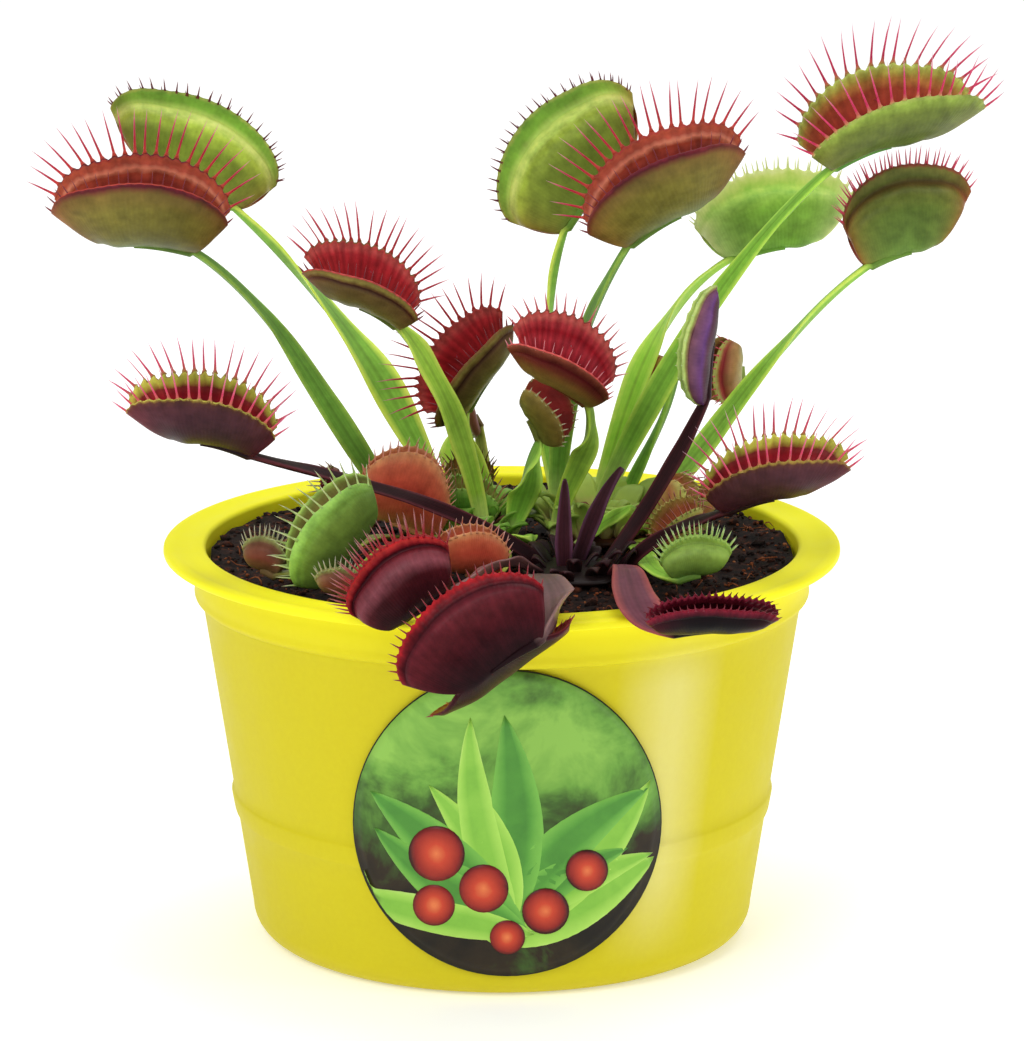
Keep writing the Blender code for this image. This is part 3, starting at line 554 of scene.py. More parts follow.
# crown and root: which crown the leaf grows from, and where on it
# neck: where stalk and trap meet
# along, face: the ways of the midrib and of the mouth
# trap: length, width of a lobe and opening, or None for a leaf that is only a blade
# broad, broadAt: the stalk's greatest width, and where that is
# rise, bend: how steeply the stalk starts, and how far it turns into the midrib's way
# arch, skew, ends: the midrib's bow, how far the margin is shifted along it, and the lobe's width at its
# two ends as a share of its greatest
# hinge: how far the hinge line reaches from the trap's middle, to the neck and to the tip, in lengths
# pinch: how close the shut lobes come, where it differs from the look's
# teeth: count on a lobe, length, spread along the midrib and lean outwards
leaves = {
    "tall_rear_left_leaf": dict(
        crown="left", root=(-1, 6), neck=(-48, 30, 125.5), along=(-0.9, 0.05, 0.36), face=(0.45, 0.4, 0.9),
        trap=(33, 16.2, 0.1), broad=8, rise=0.9, skew=0.03, look="greenShut", teeth=(20, 3.2, 0.6, 0.5)),
    "tall_front_left_leaf": dict(
        crown="left", root=(-7, 2), neck=(-54, 6, 122), along=(-1, 0, 0.02), face=(0, -0.15, 1),
        trap=(31, 17, 0.8), broad=5, broadAt=0.4, look="oliveOpen", teeth=(21, 9.5, 0.75, 0.1)),
    "tall_rear_middle_leaf": dict(
        crown="right", root=(-6, 6), neck=(11, 26, 122), along=(0.72, 0.05, 0.69), face=(-0.69, 0.35, 0.72),
        trap=(32, 19.5, 0.1), broad=5.5, look="greenShut", teeth=(24, 2.8, 0.5, 0.3)),
    "tall_front_middle_leaf": dict(
        crown="right", root=(-7, 1), neck=(22, 6, 123), along=(0.9, 0, 0.42), face=(-0.42, -0.13, 0.9),
        trap=(31, 16.5, 0.88), broad=5, rise=0.5, skew=0.03, look="oliveOpen", teeth=(21, 9.5, 0.75, 0.1)),
    "pale_right_leaf": dict(
        crown="right", root=(-1, 6), neck=(41, 26, 117), along=(0.97, 0.1, 0.1), face=(-0.15, 0.3, 0.95),
        trap=(29, 15, 0.1), broad=6.5, broadAt=0.75, rise=0.5, bend=1.5, look="paleGreen",
        teeth=(19, 3.0, 0.4, 0.1)),
    "tall_right_leaf": dict(
        crown="right", root=(-2, -1), neck=(58, 8, 136.5), along=(0.92, 0.3, 0.16), face=(-0.2, -0.3, 0.9),
        trap=(33, 14.8, 0.9), broad=5, broadAt=0.4, arch=0.06, skew=0.05, ends=0.38, look="greenOpen",
        teeth=(19, 9.5, 0.8, 0.1)),
    "far_right_leaf": dict(
        crown="right", root=(4, -2), neck=(65, 14, 118), along=(0.96, 0.1, 0.2), face=(-0.2, 0.2, 0.95),
        trap=(23.5, 16.5, 0.15), broad=5, broadAt=0.4, rise=0, skew=0.08, ends=0.5, look="ringedGreen",
        teeth=(20, 4.0, 0.7, 0.1)),
    "red_left_leaf": dict(
        crown="left", root=(5, -4), neck=(-18, -4, 110.5), along=(-0.92, -0.1, 0.36),
        face=(0.3, -0.36, 0.85), trap=(22, 11.2, 0.85), broad=6.5, broadAt=0.85, arch=0.06, skew=0.1,
        look="redOpen", teeth=(19, 8.5, 0.8, 0.15)),
    "red_rear_leaf": dict(
        crown="left", root=(6, 3), neck=(-6.6, 12, 91.6), along=(0.62, 0, 0.78), face=(-0.66, -0.45, 0.49),
        trap=(23, 12, 0.8), broad=4.5, broadAt=0.6, look="redOpen", teeth=(19, 8.5, 0.8, 0.15)),
    "red_middle_leaf": dict(
        crown="right", root=(-7, -4), neck=(15.2, -6, 97), along=(-0.88, 0, 0.42), face=(0.36, -0.4, 0.8),
        trap=(20, 13, 0.85), broad=4.5, broadAt=0.75, rise=0.5, skew=0.08, look="roseOpen",
        teeth=(17, 4.5, 0.6, 0.1)),
    "small_olive_leaf": dict(
        crown="left", root=(9, -2), neck=(7, -1, 89.5), along=(-0.55, 0, 0.8), face=(0.68, -0.25, 0.5),
        trap=(12, 8.5, 0.95), broad=9, broadAt=0.82, rise=0.6, bend=-0.2, look="oliveSmall",
        teeth=(12, 1.5, 0.4, 0.1)),
    "olive_bud_leaf": dict(
        crown="left", root=(5, 7.5), neck=(-4.2, 24.5, 86), along=(-0.25, 0, 1), face=(-0.5, -0.8, 0),
        trap=(7, 4.5, 0.3), broad=2.8, look="brownLow", teeth=(9, 1.2, 0.4, 0.1)),
    "pale_blade": dict(
        crown="left", root=(2, 8.5), neck=(-9, 24, 85), along=(-0.3, 0, 1), face=(0, -1, 0),
        trap=None, broad=6.5, broadAt=0.8, look="paleGreen"),
    "small_right_leaf": dict(
        crown="right", root=(6, 4), neck=(43, 18, 94.5), along=(0.05, 0, 1), face=(-0.8, -0.5, 0.1),
        trap=(12, 9, 0.7), broad=3.5, look="smallRed", teeth=(13, 1.8, 0.4, 0.1)),
    "small_rear_leaf": dict(
        crown="right", root=(3, 7), neck=(31, 26, 94.5), along=(-0.1, 0, 1), face=(-0.9, 0, 0.1),
        trap=(6, 4.5, 0.3), broad=2.5, look="smallRed", teeth=(9, 1.2, 0.4, 0.1)),
    "low_green_left_leaf": dict(
        crown="left", root=(-5, -8), neck=(-29, -30, 71.2), along=(0.62, 0, 0.78), face=(-0.8, -0.15, 0.55),
        trap=(22, 12, 0.55), broad=5, rise=0.8, look="leafGreen", teeth=(15, 4.2, 0.5, 0.2)),
    "purple_bud_leaf": dict(
        crown="left", root=(-6, 5), neck=(-29.5, 10, 77), along=(0.1, 0, 1), face=(-0.6, -0.8, 0),
        trap=(7, 5, 0.5), broad=2.5, rise=0.5, look="purpleBud", teeth=(11, 3.0, 0.5, 0.2)),
    "orange_left_leaf": dict(
        crown="left", root=(-5, -3), neck=(-12, -5, 72.8), along=(-0.8, 0, 0.25), face=(-0.25, 0.1, 0.95),
        trap=(17, 15, 0.5), broad=4, rise=0.5, ends=0.25, hinge=(0.42, 0.38), look="orangeRed",
        teeth=(20, 2.4, 0.5, 0.1)),
    "orange_low_leaf": dict(
        crown="left", root=(6, -7), neck=(-2, -24.6, 70.7), along=(-0.8, -0.3, 0.1), face=(0.1, -0.1, 1),
        trap=(13, 9, 0.3), broad=4, rise=0.5, look="orangeRed", teeth=(14, 2.5, 0.5, 0.1)),
    "brown_edge_leaf": dict(
        crown="left", root=(-9, -3), neck=(-39, -26.5, 71.4), along=(-0.9, 0.4, 0.1), face=(0.2, 0.1, 1),
        trap=(8.5, 6.5, 0.2), broad=3.5, rise=0.5, look="brownLow", teeth=(14, 2.5, 0.5, 0.1)),
    "brown_front_leaf": dict(
        crown="left", root=(-1, -9), neck=(-25, -38, 70.2), along=(-0.95, -0.05, 0.1), face=(0.1, 0.1, 1),
        trap=(9, 5, 0.2), broad=3.5, rise=0.5, look="brownLow", teeth=(14, 2.0, 0.5, 0.1)),
    "green_comb_leaf": dict(
        crown="left", root=(4, 1), neck=(-3, 8, 72.8), along=(-0.95, 0, 0.1), face=(0, -0.3, 1),
        trap=(12, 8, 0.5), broad=4, rise=0.5, look="combGreen", teeth=(15, 4.0, 0.4, 0.1)),
    "brown_comb_leaf": dict(
        crown="left", root=(8, 4), neck=(-3, 17.5, 77), along=(-1, 0, 0), face=(0, -0.4, 1),
        trap=(9, 5.5, 0.5), broad=3, rise=0.5, look="brownComb", teeth=(14, 3.0, 0.4, 0.1)),
    "front_blade": dict(
        crown="left", root=(7.5, -5), neck=(5.5, -7.5, 73.4), along=(0.3, -0.8, 0.3), face=(0, 0.3, 1),
        trap=None, broad=6, broadAt=0.6, look="fresh"),
    "right_blade": dict(
        crown="right", root=(-3, -8), neck=(23, -12, 80), along=(1, 0, 0.6), face=(-0.3, -0.6, 0.8),
        trap=None, broad=4, broadAt=0.6, look="fresh"),
    "yellow_right_leaf": dict(
        crown="right", root=(9.4, -1), neck=(26, 5.4, 73), along=(0.1, -0.2, 0.9), face=(0.9, -0.3, 0.2),
        trap=(12.5, 9, 0.6), broad=4, rise=0.5, look="peach", teeth=(15, 3.5, 0.5, 0.1)),
    "pink_right_leaf": dict(
        crown="right", root=(7.0, -6.4), neck=(29.8, -4, 71.5), along=(0.7, 0.1, 0.5),
        face=(-0.2, -0.5, 0.8), trap=(10, 7, 0.5), broad=3, rise=0.5, look="peach",
        teeth=(14, 3.0, 0.5, 0.1)),
    "fresh_right_leaf": dict(
        crown="right", root=(5.5, -8), neck=(30, -29, 71.2), along=(1, 0, 0.1), face=(0, 0.1, 1),
        trap=(12.5, 7.5, 0.3), broad=4, rise=0.2, look="fresh", teeth=(18, 3.0, 0.6, 0.2)),
    "pink_rear_leaf": dict(
        crown="right", root=(8, 3), neck=(35.5, 12, 70.5), along=(0.5, 0, 0.6), face=(-0.6, -0.4, 0.6),
        trap=(9, 6, 0.6), broad=3, rise=0.5, look="peach", teeth=(14, 3.0, 0.5, 0.1)),
    "dark_left_leaf": dict(
        crown="dark", root=(-5, 3), neck=(-43, -24, 92), along=(-0.98, 0, 0.13), face=(0.1, -0.15, 1),
        trap=(26, 12.5, 0.88), broad=3.6, broadAt=0.8, rise=0.5, bend=0.4, arch=0.05, skew=0.05,
        look="darkOpen", teeth=(18, 7.5, 0.7, 0.2)),
    "dark_right_leaf": dict(
        crown="dark", root=(8, 1), neck=(38.5, -22, 81.5), along=(0.98, 0, 0.15), face=(-0.2, -0.15, 1),
        trap=(25.5, 11.2, 0.95), broad=3.5, broadAt=0.8, rise=1.0, arch=0.05, skew=0.08, look="darkOpen",
        teeth=(18, 7.5, 0.7, 0.2)),
    "dark_upright_leaf": dict(
        crown="dark", root=(5, 3), neck=(35.3, -14, 99.2), along=(0.16, 0, 1), face=(-0.8, -0.6, 0),
        trap=(21.5, 7.2, 0.1), broad=3.3, broadAt=0.8, rise=0.1, skew=0.03, ends=0.1, hinge=(0.44, 0.36),
        look="purpleShut", teeth=(12, 0.8, 0.2, 0.0)),
    "dark_front_left_leaf": dict(
        crown="dark", root=(-6, -2), neck=(-9, -58.6, 76.4), along=(-0.75, -0.05, -0.6),
        face=(-0.45, 0.1, 0.85), trap=(20, 13, 0.1), broad=5, rise=0.5, skew=-0.06, ends=0.5,
        look="wineShut", teeth=(20, 5.0, 0.6, 0.2)),
    "dark_front_leaf": dict(
        crown="dark", root=(-6, -7), neck=(6.5, -77, 73), along=(-0.8, -0.05, -0.6),
        face=(-0.29, 0.87, 0.39), trap=(28.5, 15.3, 1.2), broad=8, broadAt=0.75, rise=0.5, look="wineOpen",
        teeth=(26, 2.8, 0.5, 0.2)),
    "dark_side_leaf": dict(
        crown="dark", root=(6, -4), neck=(28, -66, 71.2), along=(1, 0.05, -0.02), face=(0, -0.6, 0.8),
        trap=(22, 8, 0.25), broad=7.5, broadAt=0.7, rise=0.9, pinch=0.2, look="blackSide",
        teeth=(22, 1.6, 0.5, 0.2)),
    "dark_spike": dict(
        crown="dark", root=(-2, 0), neck=(11, -17, 86), along=(0, 0, 1), face=(0, -1, 0),
        trap=None, broad=3.2, broadAt=0.3, look="darkBlade"),
    "dark_strap": dict(
        crown="dark", root=(0, 4), neck=(21, -12, 87), along=(1, 0, 0.6), face=(0, -0.6, 0.8),
        trap=None, broad=3.2, look="darkBlade"),
}
for name, leaf in leaves.items():
    leaves[name] = plainLeaf | leaf

crownPlaces = {"left": (-8.0, 8.0), "right": (17.0, 10.0), "dark": (13.0, -18.0)}
crownTop = 70.3
peatTop = 68.5

# Shares run from the hinge to the margin. A rise is where something starts and how far it takes.
lobeShape = {
    "shares": [0, 0.05, 0.12, 0.2, 0.29, 0.38, 0.47, 0.56, 0.64, 0.7, 0.74, 0.775, 0.81, 0.845, 0.88, 0.92,
               0.96, 1],
    "thick": [(0, 1.3), (0.3, 1.1), (0.7, 0.9), (0.9, 0.7), (1, 0.55)], "edge": 0.12,
    "rowsPerTooth": 4, "fewestRows": 56, "marginSteps": 120, "fullLength": 24,
    "closedAngles": (46.0, -38.0), "openAngles": (68.0, 6.0), "tip": 0.05, "tipRise": (0.3, 0.7),
    "contact": 0.035, "contactRise": (0.6, 0.2), "flare": 0.07, "flareRise": (0.8, 0.2),
    "scallopRise": (0.78, 0.22), "calm": (0.25, 0.5),
    "ridgeWidth": 0.05, "grooveWidth": 0.032, "lipWidth": 0.035, "ridgeFade": 0.18,
    "lump": 0.22, "lumpScale": 2.2,
}


def runAt(row):
    # rows are closer together at the trap's two ends
    return math.sin(row * math.pi / 2)


def rowAt(run):
    return math.asin(run) * 2 / math.pi


def trapFrame(leaf):
    # the trap's own directions and sizes, and the angles its lobes turn through
    shape, look = lobeShape, looks[leaf["look"]]
    along = Vector(leaf["along"]).normalized()
    face = Vector(leaf["face"])
    face = (face - along * face.dot(along)).normalized()
    side = along.cross(face)
    length, width, opening = leaf["trap"] or (0, 0, 0)
    ends = zip(shape["closedAngles"], shape["openAngles"])
    first, last = (math.radians(shut + (wide - shut) * opening) for shut, wide in ends)
    thin = look["nearTeeth"][0] < toothShape["thinBelow"]
    trap = {
        "neck": Vector(leaf["neck"]), "along": along, "face": face, "side": side, "look": look,
        "length": length, "width": width, "opening": opening, "first": first, "last": last,
        "arch": leaf["arch"] * length, "skew": leaf["skew"], "hinge": leaf["hinge"], "ends": leaf["ends"],
        "pinch": leaf.get("pinch", look["pinch"]), "near": -1 if side.y > 0 else 1,
        "calm": shape["calm"][0] if thin else shape["calm"][1], "margin": None, "scallops": 0,
    }
    if length:
        trap["margin"] = marginRun(trap)
        trap["scallops"] = leaf["teeth"][0]
    return trap


def section(trap, share):
    # offsets sideways and towards the mouth, in lobe widths
    first, last = trap["first"], trap["last"]
    flareFrom, flareRun = lobeShape["flareRise"]
    angle = first + (last - first) * share
    side = (math.cos(first) - math.cos(angle)) / (last - first)
    rise = (math.sin(angle) - math.sin(first)) / (last - first)
    touch = lobeShape["contact"] + lobeShape["flare"] * max(0.0, share - flareFrom) / flareRun
    side += (touch - side) * trap["pinch"] * ease(share, lobeShape["contactRise"])
    return side, rise


def lobeWidth(trap, run, share, hand):
    # widest halfway along, with a bay in the margin between two teeth
    bulge = math.sqrt(max(0.0, 1 - run * run))
    width = trap["width"] * (trap["ends"] + (1 - trap["ends"]) * bulge)
    if trap["scallops"]:
        wave = math.cos(math.tau * (marginPhase(trap, rowAt(run)) * trap["scallops"] - 0.5))
        deep = trap["look"]["scallop"] * (trap["calm"] if hand == trap["near"] else 1.0)
        width += deep * wave * ease(share, lobeShape["scallopRise"]) * min(1.0, 4 * bulge)
    return width


def lobePoint(trap, run, across, lift=0.0):
    # run goes along the midrib and across over both lobes, each from -1 to 1
    share, hand = abs(across), (1 if across > 0 else -1)
    start, end = trap["hinge"]
    hinge = (start + end) / 2 + (end - start) / 2 * run
    half = trap["length"] * (hinge + (0.5 - hinge) * share ** trap["look"]["bow"])
    width = lobeWidth(trap, run, share, hand)
    side, rise = section(trap, share)
    near, far = section(trap, max(0.0, share - 0.02)), section(trap, min(1.0, share + 0.02))
    turn = Vector((far[0] - near[0], far[1] - near[1])).normalized()
    outward = trap["side"] * (hand * turn.y * smooth(share / 0.1)) - trap["face"] * turn.x
    outward.normalize()
    tip = trap["length"] * lobeShape["tip"] * ease(run, lobeShape["tipRise"]) ** 1.5
    place = trap["neck"] + trap["along"] * (trap["length"] * (start + trap["skew"] * share) + run * half)
    place += trap["face"] * (rise * width + trap["arch"] * (1 - run * run) + tip)
    place += trap["side"] * (hand * side * width)
    return place + outward * lift, outward


def marginRun(trap):
    # how far along the margin each row is, from 0 to 1, to space the teeth evenly
    steps = lobeShape["marginSteps"]
    total, reached, last = 0.0, [(-1.0, 0.0)], None
    for step in range(steps + 1):
        row = -1 + 2 * step / steps
        place = lobePoint(trap, runAt(row), 1.0)[0]
        if last is not None:
            total += (place - last).length
            reached.append((row, total))
        last = place
    return [(row, reach / total) for row, reach in reached]


def marginPhase(trap, row):
    return between(trap["margin"], row)


def marginPlace(trap, phase):
    return between([(reach, row) for row, reach in trap["margin"]], phase)


def addLobes(bm, trap):
    # both lobes as one closed skin: the outer side, the margin, and back over the inner side
    look, shape = trap["look"], lobeShape
    shares = shape["shares"]
    rows = max(shape["fewestRows"], shape["rowsPerTooth"] * trap["scallops"])
    over = [-share for share in reversed(shares)] + shares[1:]
    outer = [(across, 1) for across in over]
    inner = [(across, -1) for across in reversed(over)]
    ring = outer + [(1.0, 0)] + inner + [(-1.0, 0)] + outer[:1]
    small = min(1.0, trap["length"] / shape["fullLength"])

    def place(column, row):
        across, layer = ring[column]
        share = abs(across)
        at = -1 + 2 * row / rows
        run = runAt(at)
        close = math.sqrt(max(0.0, 1 - abs(at) ** 8))
        lift = layer * between(shape["thick"], share) / 2 * small
        inside = small * smooth((1 - abs(at)) / shape["ridgeFade"])
        if layer > 0:
            lift += inside * look["ridge"] * bell(share, look["ridgeAt"], shape["ridgeWidth"])
            lift -= inside * look["groove"] * bell(share, look["grooveAt"], shape["grooveWidth"])
        if layer < 0:
            lift -= inside * look["lip"] * bell(share, look["lipAt"], shape["lipWidth"])
        scale = shape["lumpScale"]
        lump = noise.noise(Vector((run * scale, across * scale, trap["neck"].x)))
        point, outward = lobePoint(trap, run, across, lift * close)
        if layer == 0:
            point += trap["face"] * shape["edge"] * close
        point += outward * lump * shape["lump"] * small
        return point, (share, row / rows)

    verts = mapGrid(bm, len(ring) - 1, rows, place, 1)
    half = len(ring) // 2    # the inner side's first column
    columnOf = {vert: index % len(ring) for index, vert in enumerate(verts)}
    for face in bm.faces:
        columns = [columnOf[vert] for vert in face.verts]
        if max(columns) > half and min(columns) >= half - 1:
            face.material_index = 2


# The teeth of the near lobe stand before the far one: they may be shorter, thinner and darker.
toothShape = {
    "sides": 6, "levels": [0.0, 0.0, 0.1, 0.26, 0.62, 1.0], "footWidths": (0.32, 0.14),
    "shaftWidths": (0.22, 0.15), "footDepths": (0.26, 0.2), "shaftDepths": (0.2, 0.14), "sunk": 0.35,
    "uneven": 0.12, "wander": 0.06, "lengths": (0.9, 1.06), "shortEnds": 0.45, "curl": 0.12, "sway": 0.05,
    "thinBelow": 0.6, "thin": 0.5, "darkBelow": 0.45,
}


def toothSpacing(trap, count):
    run = 0.1
    gap = (lobePoint(trap, run, 1)[0] - lobePoint(trap, -run, 1)[0]).length
    return gap / max(0.001, (marginPhase(trap, rowAt(run)) - marginPhase(trap, -rowAt(run))) * count)


def addTeeth(bm, trap, leaf, rng):
    # each tooth grows on from the lobe, fans out towards the ends and curls in at its tip
    shape = toothShape
    count, length, spread, lean = leaf["teeth"]
    nearShare, nearLean = trap["look"]["nearTeeth"]
    spacing = toothSpacing(trap, count)
    stout = min(1.0, 0.55 + length / 20)
    widths = [0.0] + [spacing * part for part in shape["footWidths"]]
    widths += [part * stout for part in shape["shaftWidths"]] + [0.0]
    depths = [0.0, *shape["footDepths"]] + [part * stout for part in shape["shaftDepths"]] + [0.0]
    for hand in (-1, 1):
        near = hand == trap["near"]
        slim = shape["thin"] if near and nearShare < shape["thinBelow"] else 1.0
        dark = 1.0 if near and nearShare < shape["darkBelow"] else 0.0
        for tooth in range(count):
            at = marginPlace(trap, (tooth + 0.5 + eitherWay(rng, shape["uneven"])) / count)
            run = runAt(at)
            base, outward = lobePoint(trap, run, hand)
            before = lobePoint(trap, run, hand * 0.96)[0]
            ahead = lobePoint(trap, runAt(min(1, at + 0.02)), hand)[0]
            behind = lobePoint(trap, runAt(max(-1, at - 0.02)), hand)[0]
            edge = (ahead - behind).normalized()
            grow = (base - before).normalized()
            fan = trap["along"] * (spread * at * abs(at) ** 0.3)
            way = grow + fan + outward * (lean - (nearLean if near else 0))
            way += Vector([eitherWay(rng, shape["wander"]) for axis in range(3)])
            way.normalize()
            reach = length * (1 - shape["shortEnds"] * abs(at) ** 3) * rng.uniform(*shape["lengths"])
            reach *= nearShare if near else 1
            curl = -outward * reach * shape["curl"] + trap["along"] * eitherWay(rng, shape["sway"]) * reach
            flat = way.cross(edge).normalized()
            root = base - grow * shape["sunk"]

            def place(column, row):
                turn, level = column / shape["sides"] * math.tau, shape["levels"][row]
                point = root + way * (reach * level) + curl * level * level
                point = point + edge * (slim * widths[row] * math.cos(turn))
                return point + flat * (depths[row] * math.sin(turn)), (dark, level)

            mapGrid(bm, shape["sides"], len(shape["levels"]) - 1, place, 3)


hairShape = {
    "places": ((-0.35, 0.42), (0.0, 0.6), (0.35, 0.42)), "length": 2.4, "widths": (0.0, 0.14, 0.08, 0.0),
    "sides": 4, "sunk": 0.3, "leastLength": 19, "leastOpening": 0.7,
}


def addHairs(bm, trap):
    # three fine trigger hairs stand on the inside of each lobe
    shape = hairShape
    rings = len(shape["widths"]) - 1
    for hand in (-1, 1):
        for run, share in shape["places"]:
            base, outward = lobePoint(trap, run, hand * share, -shape["sunk"])
            flat = trap["along"]
            other = outward.cross(flat).normalized()

            def place(column, row):
                turn, level = column / shape["sides"] * math.tau, row / rings
                wide = shape["widths"][row]
                point = base - outward * shape["length"] * level
                return point + flat * wide * math.cos(turn) + other * wide * math.sin(turn), (0.5, level)

            mapGrid(bm, shape["sides"], rings, place, 3)


stalkShape = {
    "sides": 20, "rings": 46, "keelRings": 12, "rootWidth": 2.6, "neckWidth": 1.8, "bladeTip": 0.5,
    "taper": 0.6, "sunk": 0.5, "rootLean": 0.4, "rootPull": 0.35, "neckPull": 0.3,
    "keelRun": 1.15, "keelTip": 0.5, "wing": 0.3, "rib": 0.62, "ribWidth": 0.8, "fold": 0.16,
    "waves": 17, "wave": 0.1, "lowNeck": 80.0, "lowFace": (0, 0, 1), "highFace": (0, -0.8, 0.6),
}


def bezier(points, share):
    back = 1.0 - share
    weights = (back ** 3, 3 * back ** 2 * share, 3 * back * share ** 2, share ** 3)
    return sum((weight * point for weight, point in zip(weights, points)), Vector())


def stalkCurve(leaf, trap):
    # leaves the crown outwards and upwards, and turns into the midrib at the neck
    shape, crown = stalkShape, crownPlaces[leaf["crown"]]
    root = Vector((crown[0] + leaf["root"][0], crown[1] + leaf["root"][1], crownTop - shape["sunk"]))
    reach = (trap["neck"] - root).length
    chord = (trap["neck"] - root).normalized()
    outward = Vector((*leaf["root"], 0)) / 10.0
    start = (chord + outward * shape["rootLean"] + Vector((0, 0, leaf["rise"]))).normalized()
    finish = (chord + trap["along"] * leaf["bend"]).normalized()
    return [root, root + start * reach * shape["rootPull"],
            trap["neck"] - finish * reach * shape["neckPull"], trap["neck"]]


def stalkWidth(leaf, share):
    shape = stalkShape
    tip = shape["neckWidth"] if leaf["trap"] else shape["bladeTip"]
    if share < leaf["broadAt"]:
        return shape["rootWidth"] + (leaf["broad"] - shape["rootWidth"]) * smooth(share / leaf["broadAt"])
    past = (1 - share) / (1 - leaf["broadAt"])
    return tip + (leaf["broad"] - tip) * past ** shape["taper"]


def stalkRings(leaf, trap):
    # centre, way, upper face, width and share of each ring, on along the trap's keel
    shape = stalkShape
    curve = stalkCurve(leaf, trap)
    start = Vector(shape["lowFace"] if trap["neck"].z < shape["lowNeck"] else shape["highFace"])
    rings = []
    for step in range(shape["rings"] + 1):
        share = step / shape["rings"]
        tangent = bezier(curve, min(1, share + 0.01)) - bezier(curve, max(0, share - 0.01))
        flat = start.lerp(trap["face"], smooth(share))
        if step < 2:
            tangent = tangent.normalized().lerp(Vector((0, 0, 1)), 0.5)
        rings.append((bezier(curve, share), tangent.normalized(), flat, stalkWidth(leaf, share), share))
    if trap["length"]:
        for step in range(1, shape["keelRings"] + 1):
            share = step / shape["keelRings"]
            point = lobePoint(trap, -1 + shape["keelRun"] * share, 0, 0.45 - 0.5 * share)[0]
            width = shape["neckWidth"] + (shape["keelTip"] - shape["neckWidth"]) * share
            rings.append((point, trap["along"], trap["face"], width, 1 + 0.3 * share))
    return [rings[0]] + rings + [rings[-1]]


def addStalk(bm, leaf, trap, rng):
    # two thin wings, folded up a little and waved, with a rib that is fuller below
    shape, sides = stalkShape, stalkShape["sides"]
    phase = rng.uniform(0, 6.28)
    rings = stalkRings(leaf, trap)
    last = len(rings) - 1

    def place(column, row):
        centre, tangent, flat, width, share = rings[row]
        if row in (0, last):
            return centre, (0.5, share)
        across = tangent.cross(flat).normalized()
        up = across.cross(tangent)
        turn = column / sides * math.tau
        x, y = math.cos(turn), math.sin(turn)
        half = width / 2
        edge = math.sqrt(max(0.0, 1 - x * x))
        rib = shape["rib"] * math.exp(-(x * half / shape["ribWidth"]) ** 2)
        high = shape["wing"] * edge ** 0.7 + rib * (0.25 if y > 0 else 1.0) * min(1.0, edge * 2)
        high = math.copysign(high, y) if abs(y) > 0.001 else 0.0
        wave = math.sin(share * shape["waves"] + phase + (1.7 if x > 0 else 0)) * shape["wave"] * half
        lift = high + (shape["fold"] * half + wave) * abs(x) ** 1.5 * min(1.0, max(0.0, half - 0.9))
        return centre + across * (x * half) + up * lift, (x / 2 + 0.5, share)

    mapGrid(bm, sides, last, place, 0)


def makeLeaf(name, leaf):
    rng = random.Random(name)
    trap = trapFrame(leaf)
    bm = newMesh()
    if trap["length"]:
        addLobes(bm, trap)
        addTeeth(bm, trap, leaf, rng)
        if trap["length"] > hairShape["leastLength"] and trap["opening"] > hairShape["leastOpening"]:
            addHairs(bm, trap)
    addStalk(bm, leaf, trap, rng)
    finishPiece(name + "_grown", bm, tissue[leaf["look"]], name)


for name, leaf in leaves.items():
    makeLeaf(name, leaf)
print("leaves", len(leaves))


# The wall runs between two points, each a radius and a height. The fades are heights in metres, but the
# painted highlight band's middle and sides are turns in radians. Cloud, speck and scuff are pattern scales,
# per metre.
potShape = {
    "steps": 180, "height": 71.0, "rimRadius": 60.0, "mouth": 52.5, "collarFoot": 62.5,
    "wallTop": (53.19, 61.4), "wallFoot": (44.7, 5.5), "foot": 39.5, "underside": 0.5,
    "band": (22.9, 26.4), "proud": 0.5, "wall": 1.2,
    "holes": 6, "holeRadius": 3.0, "holeRing": 31.0, "holeSides": 32, "holeDepth": 6.0,
    "sharpAngle": 50,
    # the rim tone is lighter than the plastic: a painted highlight on the rim's upward face
    "plastic": (209, 196, 34), "rim": (255, 247, 40), "paintedRimLightFade": (0.060, 0.071),
    # the pale tone and its band are a painted highlight: a soft light streak up the front right of the wall
    "pale": (232, 224, 146), "paintedHighlightAt": 0.6, "paintedHighlightShare": 0.6, "paintedHighlightSide": (0.03, 0.22),
    "paintedHighlightFoot": (0.004, 0.02), "paintedHighlightTop": (0.056, 0.066), "cloud": 22.0, "speck": 900.0, "scuff": 160.0,
}


def wallRadius(height):
    (top, high), (foot, low) = potShape["wallTop"], potShape["wallFoot"]
    return foot + (height - low) / (high - low) * (top - foot)


